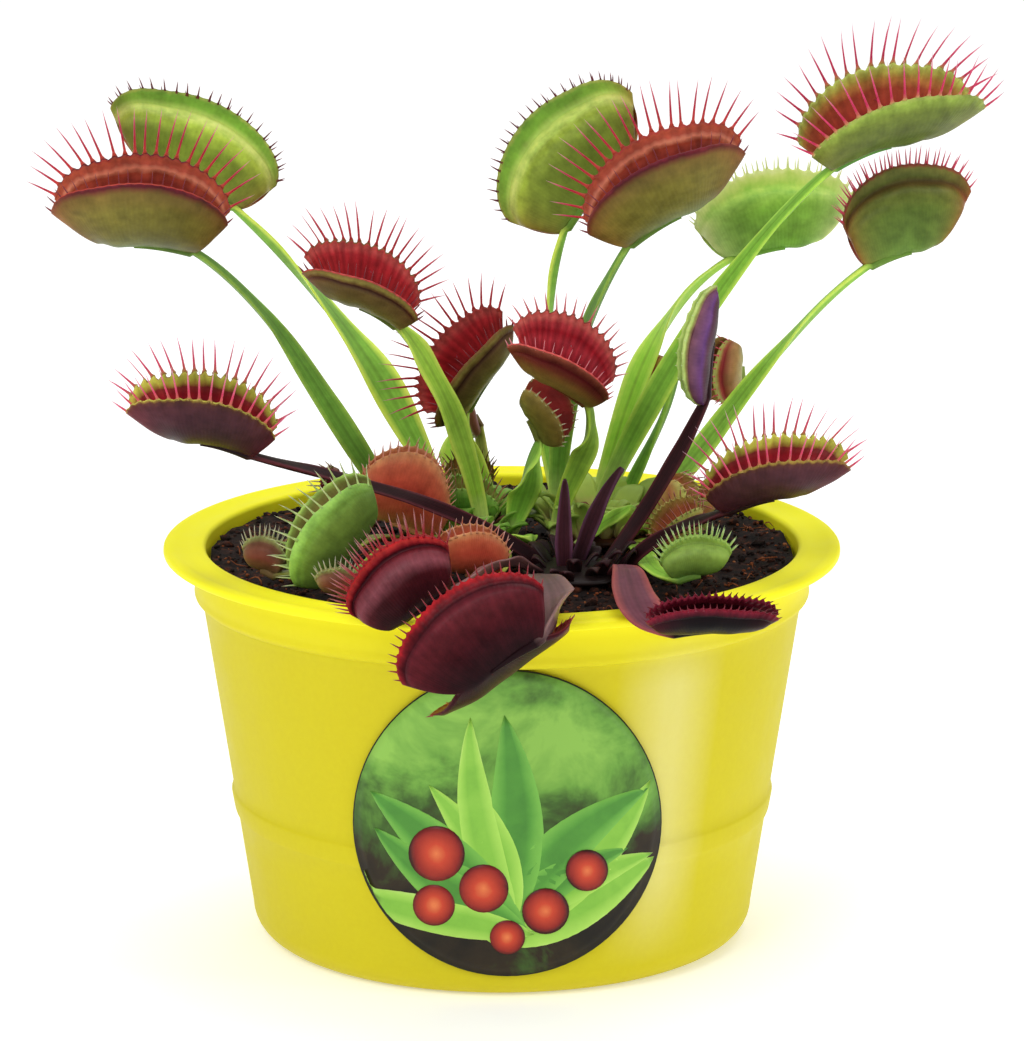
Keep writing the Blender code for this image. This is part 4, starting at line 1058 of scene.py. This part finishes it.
def potProfile():
    # radius and height, from the middle of the floor inside, over the rim, to the middle underneath
    shape = potShape
    top, wall, mouth, rim = shape["height"], shape["wall"], shape["mouth"], shape["rimRadius"]
    foot, turnHeight = shape["foot"], shape["wallFoot"][1]
    profile = [(0, wall), (foot - 2, wall)]
    profile += arc((foot - 1, turnHeight), (4.6, 4.3), -90, -8, 6)
    profile += [(wallRadius(z) - wall, z) for z in (12, 24, 36, 48, 58)]
    profile += [(mouth - 0.5, 61.5), (mouth, 63.6), (mouth, top - 0.9)]
    profile += arc((mouth + 0.8, top - 0.8), (0.8, 0.8), 180, 90, 5)    # the mouth's rounded edge
    profile += [(54.6, top - 0.12), (55.2, top - 0.22), (56.0, top - 0.25), (57.2, top - 0.22)]
    profile += [(57.9, top - 0.05), (58.5, top + 0.06), (59.1, top)]    # faint ridge near the edge
    profile += arc((rim - 0.7, top - 0.7), (0.7, 0.65), 80, 0, 5)
    profile += arc((rim - 0.5, top - 1.1), (0.5, 0.4), 0, -90, 3)
    profile += [(57.5, top - 1.45), (55.9, top - 1.6)]
    profile += arc((55.9, top - 2.9), (-1.3, 1.3), 90, 0, 4)    # under the flange
    profile += [(54.65, 66.6), (54.75, 65.2), (54.6, 64.0), (54.5, 63.2)]    # the collar
    profile += arc((shape["wallTop"][0], shape["collarFoot"] + 0.2), (1.41, 1.3), 0, -85, 6)
    profile += [(wallRadius(z), z) for z in (60.6, 57, 52, 46, 40, 34, 29)]
    profile += bandProfile()
    profile += [(wallRadius(z), z) for z in (18, 12, 8)]
    profile += arc((foot, turnHeight), (wallRadius(turnHeight) - foot, turnHeight), 0, -90, 9)
    profile += [(foot - 2, 0), (foot - 2.6, shape["underside"]), (0, shape["underside"])]
    return profile


def bandProfile():
    # the raised stacking band, from its upper edge down
    (low, high), proud = potShape["band"], potShape["proud"]
    return [
        (wallRadius(high + 0.6), high + 0.6), (wallRadius(high) + proud * 0.7, high + 0.15),
        (wallRadius(high) + proud, high - 0.3), (wallRadius(low) + proud, low + 0.3),
        (wallRadius(low) + proud * 0.7, low - 0.15), (wallRadius(low - 0.6), low - 0.6),
    ]


def turned(bm, profile, steps):
    # spins an outline of radius and height round the pot's axis
    points = [bm.verts.new((radius, 0, height)) for radius, height in profile]
    edges = [bm.edges.new(pair) for pair in zip(points, points[1:])]
    bmesh.ops.spin(bm, geom=points + edges, cent=(0, 0, 0), axis=(0, 0, 1), angle=math.tau,
                   steps=steps, use_merge=True)
    for face in bm.faces:
        face.smooth = True


def plasticMaterial():
    # a painted highlight as a brighter rim, and a painted highlight as a soft pale band up the wall, over a
    # cloudy yellow
    shape = potShape
    made, tree, shader = newMaterial("yellowPlastic", {
        "Roughness": 0.5, "Specular IOR Level": 0.08, "Subsurface Weight": 0.15, "Subsurface Scale": 0.003,
        "Subsurface Radius": (1.0, 0.8, 0.1), "Coat Weight": 0.04, "Coat Roughness": 0.4})
    place = objectPlace(tree)
    cloud = speckle(tree, place, shape["cloud"], 3.0)
    speck = speckle(tree, place, shape["speck"], 3.0)
    x, y, height = apart(tree, place)
    # the rim is lighter than the wall: a painted highlight where the top catches the light
    paintedRimLight = grey(tree, height, 0.0, 1.0, *shape["paintedRimLightFade"])
    base = mixed(tree, paintedRimLight, linear(shape["plastic"]), linear(shape["rim"]))
    # painted highlight: a soft pale streak up the front right of the wall, fading out at the foot and the
    # rim
    turn = maths(tree, "ARCTAN2", x, maths(tree, "MULTIPLY", y, -1.0))
    away = maths(tree, "ABSOLUTE", maths(tree, "SUBTRACT", turn, shape["paintedHighlightAt"]))
    beside = grey(tree, away, shape["paintedHighlightShare"], 0.0, *shape["paintedHighlightSide"])
    above = grey(tree, height, 0.0, 1.0, *shape["paintedHighlightFoot"])
    below = grey(tree, height, 1.0, 0.0, *shape["paintedHighlightTop"])
    pale = maths(tree, "MULTIPLY", beside, maths(tree, "MULTIPLY", above, below))
    base = mixed(tree, pale, base, linear(shape["pale"]))
    colour = mottled(tree, 0.12, base, cloud, 0.35, 0.65)
    colour = mottled(tree, 0.06, colour, speck, 0.3, 0.7)
    tree.links.new(colour, shader.inputs["Base Color"])
    rough = grey(tree, speckle(tree, place, shape["scuff"], 4.0), 0.46, 0.56)
    tree.links.new(rough, shader.inputs["Roughness"])
    bump(tree, shader, speck, 0.00003, 0.35)
    return made


def makeDrill():
    # one pin for each drain hole
    shape = potShape
    bm = bmesh.new()
    for hole in range(shape["holes"]):
        angle = math.tau * hole / shape["holes"]
        made = bmesh.ops.create_cone(
            bm, cap_ends=True, segments=shape["holeSides"], radius1=shape["holeRadius"],
            radius2=shape["holeRadius"], depth=shape["holeDepth"])
        across = (shape["holeRing"] * math.cos(angle), shape["holeRing"] * math.sin(angle), 0.6)
        bmesh.ops.translate(bm, verts=made["verts"], vec=across)
    bmesh.ops.scale(bm, vec=(mm, mm, mm), verts=bm.verts)
    mesh = bpy.data.meshes.new("drill")
    bm.to_mesh(mesh)
    bm.free()
    drill = bpy.data.objects.new("drill", mesh)
    bpy.context.scene.collection.objects.link(drill)
    return drill


def makePot():
    bm = newMesh()
    turned(bm, potProfile(), potShape["steps"])
    pot = finishPiece("pot_moulded", bm, [plasticMaterial()], "pot")
    drill = makeDrill()
    cut = pot.modifiers.new("Holes", "BOOLEAN")
    cut.operation = "DIFFERENCE"
    cut.object = drill
    cut.solver = "EXACT"
    bpy.context.view_layer.update()
    pierced = bpy.data.meshes.new_from_object(pot.evaluated_get(bpy.context.evaluated_depsgraph_get()))
    pot.modifiers.clear()
    pot.data = pierced
    bpy.data.objects.remove(drill)
    pierced.set_sharp_from_angle(angle=math.radians(potShape["sharpAngle"]))


makePot()
print("pot")


# Grain, patch and grit are pattern scales, per metre.
peatShape = {
    "steps": 150, "side": [(0, 1.5), (37.5, 1.5), (43.3, 6.5), (50.8, 58.5), (51.2, 62.0), (51.6, 66.0)],
    "edge": 51.6, "rings": 44, "level": 68, "seed": 11,
    "rough": (0.16, 0.9), "fine": (0.7, 0.35), "bank": (0.9, 40, 11),
    "grain": 520.0, "patch": 60.0, "grit": 1800.0,
    "crumbs": 2600, "crumbSize": (0.2, 0.62), "lump": 2.2, "lumpShare": 0.05, "lightShare": 0.4,
    "flecks": 900, "fleckSize": (0.15, 0.42), "stretch": ((0.7, 1.5), (0.7, 1.2), (0.5, 0.9)), "reach": 51.2,
    "fibres": 120, "fibreReach": 50, "fibreEnd": 51, "fibreLength": (2.5, 7.0), "fibreThick": (0.07, 0.16),
}


def peatHeight(x, y):
    # rough and fine bumps, each with its scale and height, and a low bank against the pot
    (roughScale, roughHeight), (fineScale, fineHeight) = peatShape["rough"], peatShape["fine"]
    bankHeight, bankStart, bankRun = peatShape["bank"]
    rough = noise.fractal(Vector((x, y, 3.0)) * roughScale, 1.0, 2.0, 4) * roughHeight
    fine = noise.fractal(Vector((x, y, 9.0)) * fineScale, 1.0, 2.0, 3) * fineHeight
    bank = bankHeight * smooth((math.hypot(x, y) - bankStart) / bankRun)
    return peatTop - 0.4 + rough + fine + bank


def peatMaterial(name, stops, rough):
    made, tree, shader = newMaterial(name, {"Roughness": rough, "Specular IOR Level": 0.25})
    place = objectPlace(tree)
    colour = ramp(tree, speckle(tree, place, peatShape["grain"], 5.0, 0.7), stops)
    colour = mottled(tree, 0.5, colour, speckle(tree, place, peatShape["patch"], 3.0), 0.25, 0.6)
    tree.links.new(colour, shader.inputs["Base Color"])
    bump(tree, shader, speckle(tree, place, peatShape["grit"], 4.0, 0.7), 0.0004, 0.8)
    return made


def addCrumbs(bm, rng):
    # crumbs in the peat's two tones, then lighter flecks
    shape = peatShape
    for crumb in range(shape["crumbs"] + shape["flecks"]):
        fleck = crumb >= shape["crumbs"]
        radius = shape["reach"] * math.sqrt(rng.random())
        turn = rng.uniform(0, math.tau)
        x, y = radius * math.cos(turn), radius * math.sin(turn)
        size = rng.uniform(*shape["fleckSize" if fleck else "crumbSize"])
        if not fleck and rng.random() < shape["lumpShare"]:
            size *= shape["lump"]
        made = bmesh.ops.create_icosphere(bm, subdivisions=1, radius=size)["verts"]
        stretch = Vector([rng.uniform(*limits) for limits in shape["stretch"]])
        spin = Matrix.Rotation(rng.uniform(0, 6.28), 3, "Z") @ Matrix.Rotation(eitherWay(rng, 0.8), 3, "X")
        lift = peatHeight(x, y) + size * 0.25
        for vert in made:
            knock = 1 + 0.35 * noise.noise(vert.co * 1.7 + Vector((crumb, 0, 0)))
            vert.co = spin @ Vector([a * b * knock for a, b in zip(vert.co, stretch)]) + Vector((x, y, lift))
        kind = 2 if fleck else (1 if rng.random() < shape["lightShare"] else 0)
        for face in {face for vert in made for face in vert.link_faces}:
            face.material_index = kind


def addFibres(bm, rng):
    # thin fibres that arch over the crumbs
    shape, sides, rings = peatShape, 4, 5
    for fibre in range(shape["fibres"]):
        radius, turn = shape["fibreReach"] * math.sqrt(rng.random()), rng.uniform(0, math.tau)
        start = Vector((radius * math.cos(turn), radius * math.sin(turn), 0))
        way = rng.uniform(0, math.tau)
        length, bend, hump = rng.uniform(*shape["fibreLength"]), eitherWay(rng, 1.2), rng.uniform(0.2, 1.2)
        thick = rng.uniform(*shape["fibreThick"])

        def place(column, row):
            share = row / rings
            angle = way + bend * share
            point = start + Vector((math.cos(angle), math.sin(angle), 0)) * length * share
            point.z = peatHeight(point.x, point.y) + 0.25 + hump * math.sin(math.pi * share)
            side = Vector((-math.sin(angle), math.cos(angle), 0))
            size = 0.0 if row in (0, rings) else thick
            spun = column / sides * math.tau
            return point + side * (size * math.cos(spun)) + Vector((0, 0, size * math.sin(spun))), (0, share)

        if (start + Vector((math.cos(way), math.sin(way), 0)) * length).length < shape["fibreEnd"]:
            mapGrid(bm, sides, rings, place, 2)


def makePeat():
    shape = peatShape
    rng = random.Random(shape["seed"])
    bm = newMesh()
    edge, rings = shape["edge"], shape["rings"]
    top = [(edge - edge * (step / rings) ** 0.85, shape["level"]) for step in range(rings + 1)]
    turned(bm, shape["side"] + top, shape["steps"])
    for vert in bm.verts:
        if vert.co.z > shape["level"] - 1:
            vert.co.z = peatHeight(vert.co.x, vert.co.y)
    addCrumbs(bm, rng)
    addFibres(bm, rng)
    materials = [
        peatMaterial("peatDark", [(0.3, (8, 5, 5)), (0.48, (28, 16, 13)), (0.6, (54, 30, 22)),
                                  (0.72, (124, 60, 32))], 0.9),
        peatMaterial("peatCrumb", [(0.3, (14, 8, 7)), (0.5, (52, 26, 18)), (0.68, (118, 56, 30))], 0.85),
        peatMaterial("peatFleck", [(0.3, (96, 46, 24)), (0.5, (150, 78, 38)), (0.7, (176, 116, 66))], 0.8),
    ]
    finishPiece("peat_crumbly", bm, materials, "peat", 0.0005)


makePeat()
print("peat")


# Golden is the turn from one scale to the next, as a share of a full turn. Blotch and drift are pattern
# scales, per metre.
crownShape = {
    "sides": 24, "rings": 8, "radius": 9.2, "height": 2.2, "lift": 0.2, "blotch": 500.0, "drift": 90.0,
    "scaleSides": 8, "scaleRings": 9, "scaleLift": 0.9, "driedLift": 0.6,
    "golden": 0.381966, "scaleWidths": (1.0, 1.9), "scaleLengths": (3.5, 6.5), "scaleRises": (0.5, 1.2),
    "driedWidths": (0.7, 1.4), "driedLengths": (4.0, 8.0), "driedRises": (0.2, 1.0),
}
crownLooks = {
    "left": dict(
        scales=50, dried=14, size=1.35,
        green=[(0, (206, 200, 140)), (0.35, (150, 190, 80)), (1, (118, 166, 62))],
        brown=[(0, (30, 18, 14)), (0.5, (92, 52, 36)), (1, (140, 90, 60))]),
    "right": dict(
        scales=56, dried=14, size=1.5,
        green=[(0, (214, 176, 130)), (0.35, (170, 190, 88)), (1, (140, 170, 70))],
        brown=[(0, (34, 18, 14)), (0.5, (110, 60, 40)), (1, (150, 100, 66))]),
    "dark": dict(
        scales=16, dried=4, size=0.9, green=[(0, (24, 12, 12)), (0.5, (40, 18, 22)), (1, (62, 28, 34))],
        brown=[(0, (16, 10, 10)), (0.5, (40, 24, 22)), (1, (70, 40, 36))]),
}


def stemMaterial(name, stops):
    made, tree, shader = newMaterial(name, tissueSettings(0.5))
    place = objectPlace(tree)
    fromRoot = leafPlace(tree)[1]
    blotch = speckle(tree, place, crownShape["blotch"], 4.0)
    colour = ramp(tree, wavered(tree, fromRoot, blotch, 0.3), stops)
    colour = mottled(tree, 0.5, colour, speckle(tree, place, crownShape["drift"]), 0.25, 0.75)
    tree.links.new(colour, shader.inputs["Base Color"])
    bump(tree, shader, blotch, 0.0002, 0.5)
    return made


def addScale(bm, centre, turn, start, size, rise, slot, curl):
    # one short pointed leaf base that leans out of the crown
    sides, rings = crownShape["scaleSides"], crownShape["scaleRings"]
    width, length = size
    way = Vector((math.cos(turn), math.sin(turn), 0))
    side = Vector((-math.sin(turn), math.cos(turn), 0))

    def place(column, row):
        share = row / rings
        spun = column / sides * math.tau
        wide = width * (0.45 + 1.1 * math.sin(math.pi * min(1, share * 0.9 + 0.1)) * 0.6) * (1 - share ** 3)
        if row in (0, rings):
            wide = 0.0
        reach = length * share
        tall = rise * length * math.sin(share * (1.5 + curl)) * 0.9
        point = centre + way * (start + reach * math.cos(share * curl)) + Vector((0, 0, tall))
        cup = abs(math.cos(spun)) ** 2 * wide * 0.25
        thick = (0.3 + 0.3 * (1 - share)) * (1 if wide else 0)
        point = point + side * (wide * math.cos(spun)) + Vector((0, 0, thick * math.sin(spun) + cup))
        return point, (0.5, share)

    mapGrid(bm, sides, rings, place, slot)


def makeCrown(name, look):
    # a low mound, green scales set round it in a spiral, and dried scraps between them
    shape = crownShape
    rng = random.Random(name + "Crown")
    x, y = crownPlaces[name]
    centre = Vector((x, y, peatTop + shape["lift"]))
    bm = newMesh()

    def mound(column, row):
        share = row / shape["rings"]
        spun = column / shape["sides"] * math.tau
        radius = shape["radius"] * math.sin(math.pi * (0.08 + 0.84 * share)) ** 0.6
        if row in (0, shape["rings"]):
            radius = 0.0
        height = shape["height"] * (1 - math.cos(math.pi * share)) / 2
        wobble = 1 + 0.12 * noise.noise(Vector((math.cos(spun) * 2, math.sin(spun) * 2, share * 3 + x)))
        spread = Vector((radius * wobble * math.cos(spun), radius * wobble * math.sin(spun), height))
        return centre + spread, (0.5, 0.2)

    mapGrid(bm, shape["sides"], shape["rings"], mound, 1)
    scaleFoot = centre + Vector((0, 0, shape["scaleLift"]))
    scrapFoot = centre + Vector((0, 0, shape["driedLift"]))
    for scale in range(look["scales"]):
        turn = math.tau * (scale * shape["golden"]) + eitherWay(rng, 0.2)
        start = 1.0 + 7.5 * math.sqrt(scale / look["scales"])
        width, length = (rng.uniform(*shape[key]) * look["size"] for key in ("scaleWidths", "scaleLengths"))
        rise, curl = rng.uniform(*shape["scaleRises"]), rng.uniform(0.2, 0.9)
        addScale(bm, scaleFoot, turn, start, (width, length), rise, 0, curl)
    for scrap in range(look["dried"]):
        turn = rng.uniform(0, math.tau)
        width, length = (rng.uniform(*shape[key]) for key in ("driedWidths", "driedLengths"))
        start, rise, curl = rng.uniform(1, 7), rng.uniform(*shape["driedRises"]), rng.uniform(0.6, 1.6)
        addScale(bm, scrapFoot, turn, start, (width, length), rise, 1, curl)
    materials = [stemMaterial(name + "Scales", look["green"]), stemMaterial(name + "Dried", look["brown"])]
    finishPiece(name + "_crown_scales", bm, materials, name + "_crown")


for name, look in crownLooks.items():
    makeCrown(name, look)
print("crowns")


# The label's print shows leaves that fan out from its foot, and berries (across, up, radius). Each blade and
# each berry lies a little prouder than the one before, so that none share a plane.
labelShape = {
    "middle": (1.0, 33.0), "radius": 26.2, "thick": 0.3, "rings": 16, "sides": 96, "lift": 0.56,
    "tilt": 13.45, "tall": 1.01, "outline": 0.25, "margin": 0.35,
    "blades": 13, "bladeFoot": (-5, -19), "footStep": 0.8, "firstWay": 8, "wayStep": 13.5,
    "bladeLength": (33, 6), "bladeWidth": (9, 2), "bladeBend": 24, "bladeSides": 10, "bladeRings": 18,
    "bladeProud": (0.02, 0.012), "berryProud": (0.22, 0.01),
    "berries": ((-12, -5, 4.8), (-4, -11, 4.2), (-12.5, -14, 3.6), (6.5, -15, 4.0), (13.5, -8, 3.6),
                (0, -19.5, 3.0)), "berrySides": 28,
}


def onWall(x, z, proud):
    # x and z are measured from the label's middle, as it looks from in front and above
    (aside, middle), tilt = labelShape["middle"], math.radians(labelShape["tilt"])
    base = middle * math.cos(tilt) - wallRadius(middle) * math.sin(tilt)
    height = middle + z
    for step in range(5):
        radius = wallRadius(height) + labelShape["lift"]
        depth = math.sqrt(radius ** 2 - (aside + x) ** 2)
        height = (z * labelShape["tall"] + base + depth * math.sin(tilt)) / math.cos(tilt)
    turn = math.asin((aside + x) / radius)
    radius += proud
    return Vector((radius * math.sin(turn), -radius * math.cos(turn), height))


def printMaterial(name, stops, scale, along=False, rising=False):
    # along: the tones run from the middle to the edge; rising: from the label's foot upwards
    made, tree, shader = newMaterial(name, {"Roughness": 0.4, "Specular IOR Level": 0.25})
    place = objectPlace(tree)
    cloud = speckle(tree, place, scale, 5.0, 0.6, 0.4)
    source = cloud
    if rising:
        height = apart(tree, place)[2]
        source = maths(tree, "ADD", cloud, grey(tree, height, -0.22, 0.2, 0.012, 0.05))
    if along:
        source = wavered(tree, leafPlace(tree)[0], cloud, 0.5)
    tree.links.new(ramp(tree, source, stops), shader.inputs["Base Color"])
    return made


def addDisc(bm, middle, radius, low, high, slot, sides, rings):
    # a closed round layer that follows the wall, its edge cut square
    levels = [(0.0, high)] + [((ring + 1) / rings, high) for ring in range(rings)]
    levels += [((rings - ring) / rings, low) for ring in range(rings)] + [(0.0, low)]

    def place(column, row):
        share, proud = levels[row]
        turn = column / sides * math.tau
        x, z = radius * share * math.cos(turn), radius * share * math.sin(turn)
        return onWall(middle[0] + x, middle[1] + z, proud), (share, turn / math.tau)

    mapGrid(bm, sides, len(levels) - 1, place, slot)


def addBlade(bm, root, way, length, width, bend, proud, slot):
    # a lance-shaped leaf, kept inside the label's outline
    sides, rings = labelShape["bladeSides"], labelShape["bladeRings"]
    inside = labelShape["radius"] - labelShape["margin"]

    def place(column, row):
        share = row / rings
        angle = math.radians(way + bend * share)
        reach = length * share
        centre = Vector((root[0] + reach * math.cos(angle), root[1] + reach * math.sin(angle)))
        across = Vector((-math.sin(angle), math.cos(angle)))
        spun = column / sides * math.tau
        atEnd = row in (0, rings)
        half = 0.0 if atEnd else width / 2 * math.sin(math.pi * share ** 0.8) ** 0.8
        flat = centre + across * half * math.cos(spun)
        if flat.length > inside:
            flat = flat.normalized() * inside
        front = proud + 0.05 if math.sin(spun) > 0.01 else 0.05
        return onWall(flat.x, flat.y, proud if atEnd else front), (abs(math.cos(spun)), share)

    mapGrid(bm, sides, rings, place, slot)


def makeLabel():
    shape = labelShape
    rng = random.Random("label")
    bm = newMesh()
    radius, thick, sides = shape["radius"], shape["thick"], shape["sides"]
    addDisc(bm, (0, 0), radius, 0.0, thick, 0, sides, shape["rings"])
    addDisc(bm, (0, 0), radius + shape["outline"], -0.05, thick - 0.08, 1, sides, 4)
    for blade in range(shape["blades"]):
        foot = (shape["bladeFoot"][0] + blade * shape["footStep"], shape["bladeFoot"][1])
        way = shape["firstWay"] + blade * shape["wayStep"]
        length = shape["bladeLength"][0] + shape["bladeLength"][1] * math.sin(blade * 1.7)
        width = shape["bladeWidth"][0] + shape["bladeWidth"][1] * math.cos(blade * 1.3)
        proud = thick + shape["bladeProud"][0] + shape["bladeProud"][1] * blade
        slot = 2 + (blade * 7 // 3) % 2
        addBlade(bm, foot, way, length, width, eitherWay(rng, shape["bladeBend"]), proud, slot)
    for berry, (x, z, size) in enumerate(shape["berries"]):
        proud = thick + shape["berryProud"][0] + shape["berryProud"][1] * berry
        addDisc(bm, (x, z), size, 0.1, proud, 4, shape["berrySides"], 4)
    materials = [
        printMaterial("printGround", [(0.2, (20, 14, 10)), (0.38, (44, 34, 20)), (0.5, (62, 96, 36)),
                                      (0.64, (104, 156, 60)), (0.8, (140, 190, 80))], 70.0, rising=True),
        printMaterial("printOutline", [(0.3, (14, 16, 12)), (0.7, (34, 38, 26))], 200.0),
        printMaterial("printLeaf", [(0.0, (92, 150, 52)), (0.3, (130, 188, 66)), (0.8, (166, 214, 90)),
                                    (1, (192, 228, 120))], 160.0, along=True),
        printMaterial("printLeafDark", [(0.0, (48, 104, 40)), (0.4, (84, 150, 56)),
                                        (1, (126, 190, 78))], 160.0, along=True),
        printMaterial("printBerry", [(0.0, (222, 120, 70)), (0.35, (196, 66, 42)), (0.8, (140, 34, 28)),
                                     (0.95, (96, 22, 20)), (1, (60, 14, 14))], 120.0, along=True),
    ]
    finishPiece("label_print", bm, materials, "round_label", 0.0005)


makeLabel()
print("label")


# metres; each light has its name, place, size and power
studio = {
    "floorRadius": 3.0, "floor": (250, 250, 250), "glow": 0.3, "sky": 0.55,
    "cameraPlace": (0.0018, -0.98, 0.309), "cameraAim": (0.0018, 0.0, 0.0746), "lens": 196.5,
    "lights": [
        ("keyLight", (-0.75, -1.15, 1.25), (0.9, 0.9), 11.0),
        ("sideStrip", (0.98, -0.36, 0.30), (0.16, 0.62), 2.0),
        ("topLight", (0.15, 0.35, 1.3), (0.9, 0.9), 6.5),
    ], "lightAim": (0, 0, 0.08),
}


def aimed(item, place, target):
    way = Vector(target) - Vector(place)
    item.location = place
    item.rotation_euler = way.to_track_quat("-Z", "Y").to_euler()


def makeFloor(scene):
    bm = newMesh()
    bmesh.ops.create_circle(bm, cap_ends=True, segments=96, radius=studio["floorRadius"])
    mesh = bpy.data.meshes.new("floor")
    bm.to_mesh(mesh)
    bm.free()
    floor = bpy.data.objects.new("floor", mesh)
    scene.collection.objects.link(floor)
    made, tree, shader = newMaterial("floorPaper", {
        "Roughness": 0.9, "Specular IOR Level": 0.1, "Emission Color": (1, 1, 1, 1),
        "Emission Strength": studio["glow"]})
    tone = studio["floor"]
    stops = [(0.3, tuple(part - 2 for part in tone)), (0.7, tone)]
    cloud = speckle(tree, objectPlace(tree), 6.0)
    tree.links.new(ramp(tree, cloud, stops), shader.inputs["Base Color"])
    mesh.materials.append(made)


def makeStudio():
    scene = bpy.context.scene
    makeFloor(scene)
    world = bpy.data.worlds.new("studioSky")
    world.use_nodes = True
    sky = world.node_tree.nodes["Background"]
    sky.inputs["Color"].default_value = (1, 1, 1, 1)
    sky.inputs["Strength"].default_value = studio["sky"]
    scene.world = world
    for name, place, size, power in studio["lights"]:
        data = bpy.data.lights.new(name, "AREA")
        data.shape = "RECTANGLE"
        data.size, data.size_y = size
        data.energy = power
        light = bpy.data.objects.new(name, data)
        scene.collection.objects.link(light)
        aimed(light, place, studio["lightAim"])
    lens = bpy.data.cameras.new("camera")
    lens.lens = studio["lens"]
    lens.sensor_width = 36.0
    camera = bpy.data.objects.new("camera", lens)
    scene.collection.objects.link(camera)
    aimed(camera, studio["cameraPlace"], studio["cameraAim"])
    scene.camera = camera
    scene.view_settings.view_transform = "Standard"


makeStudio()
print("studio")
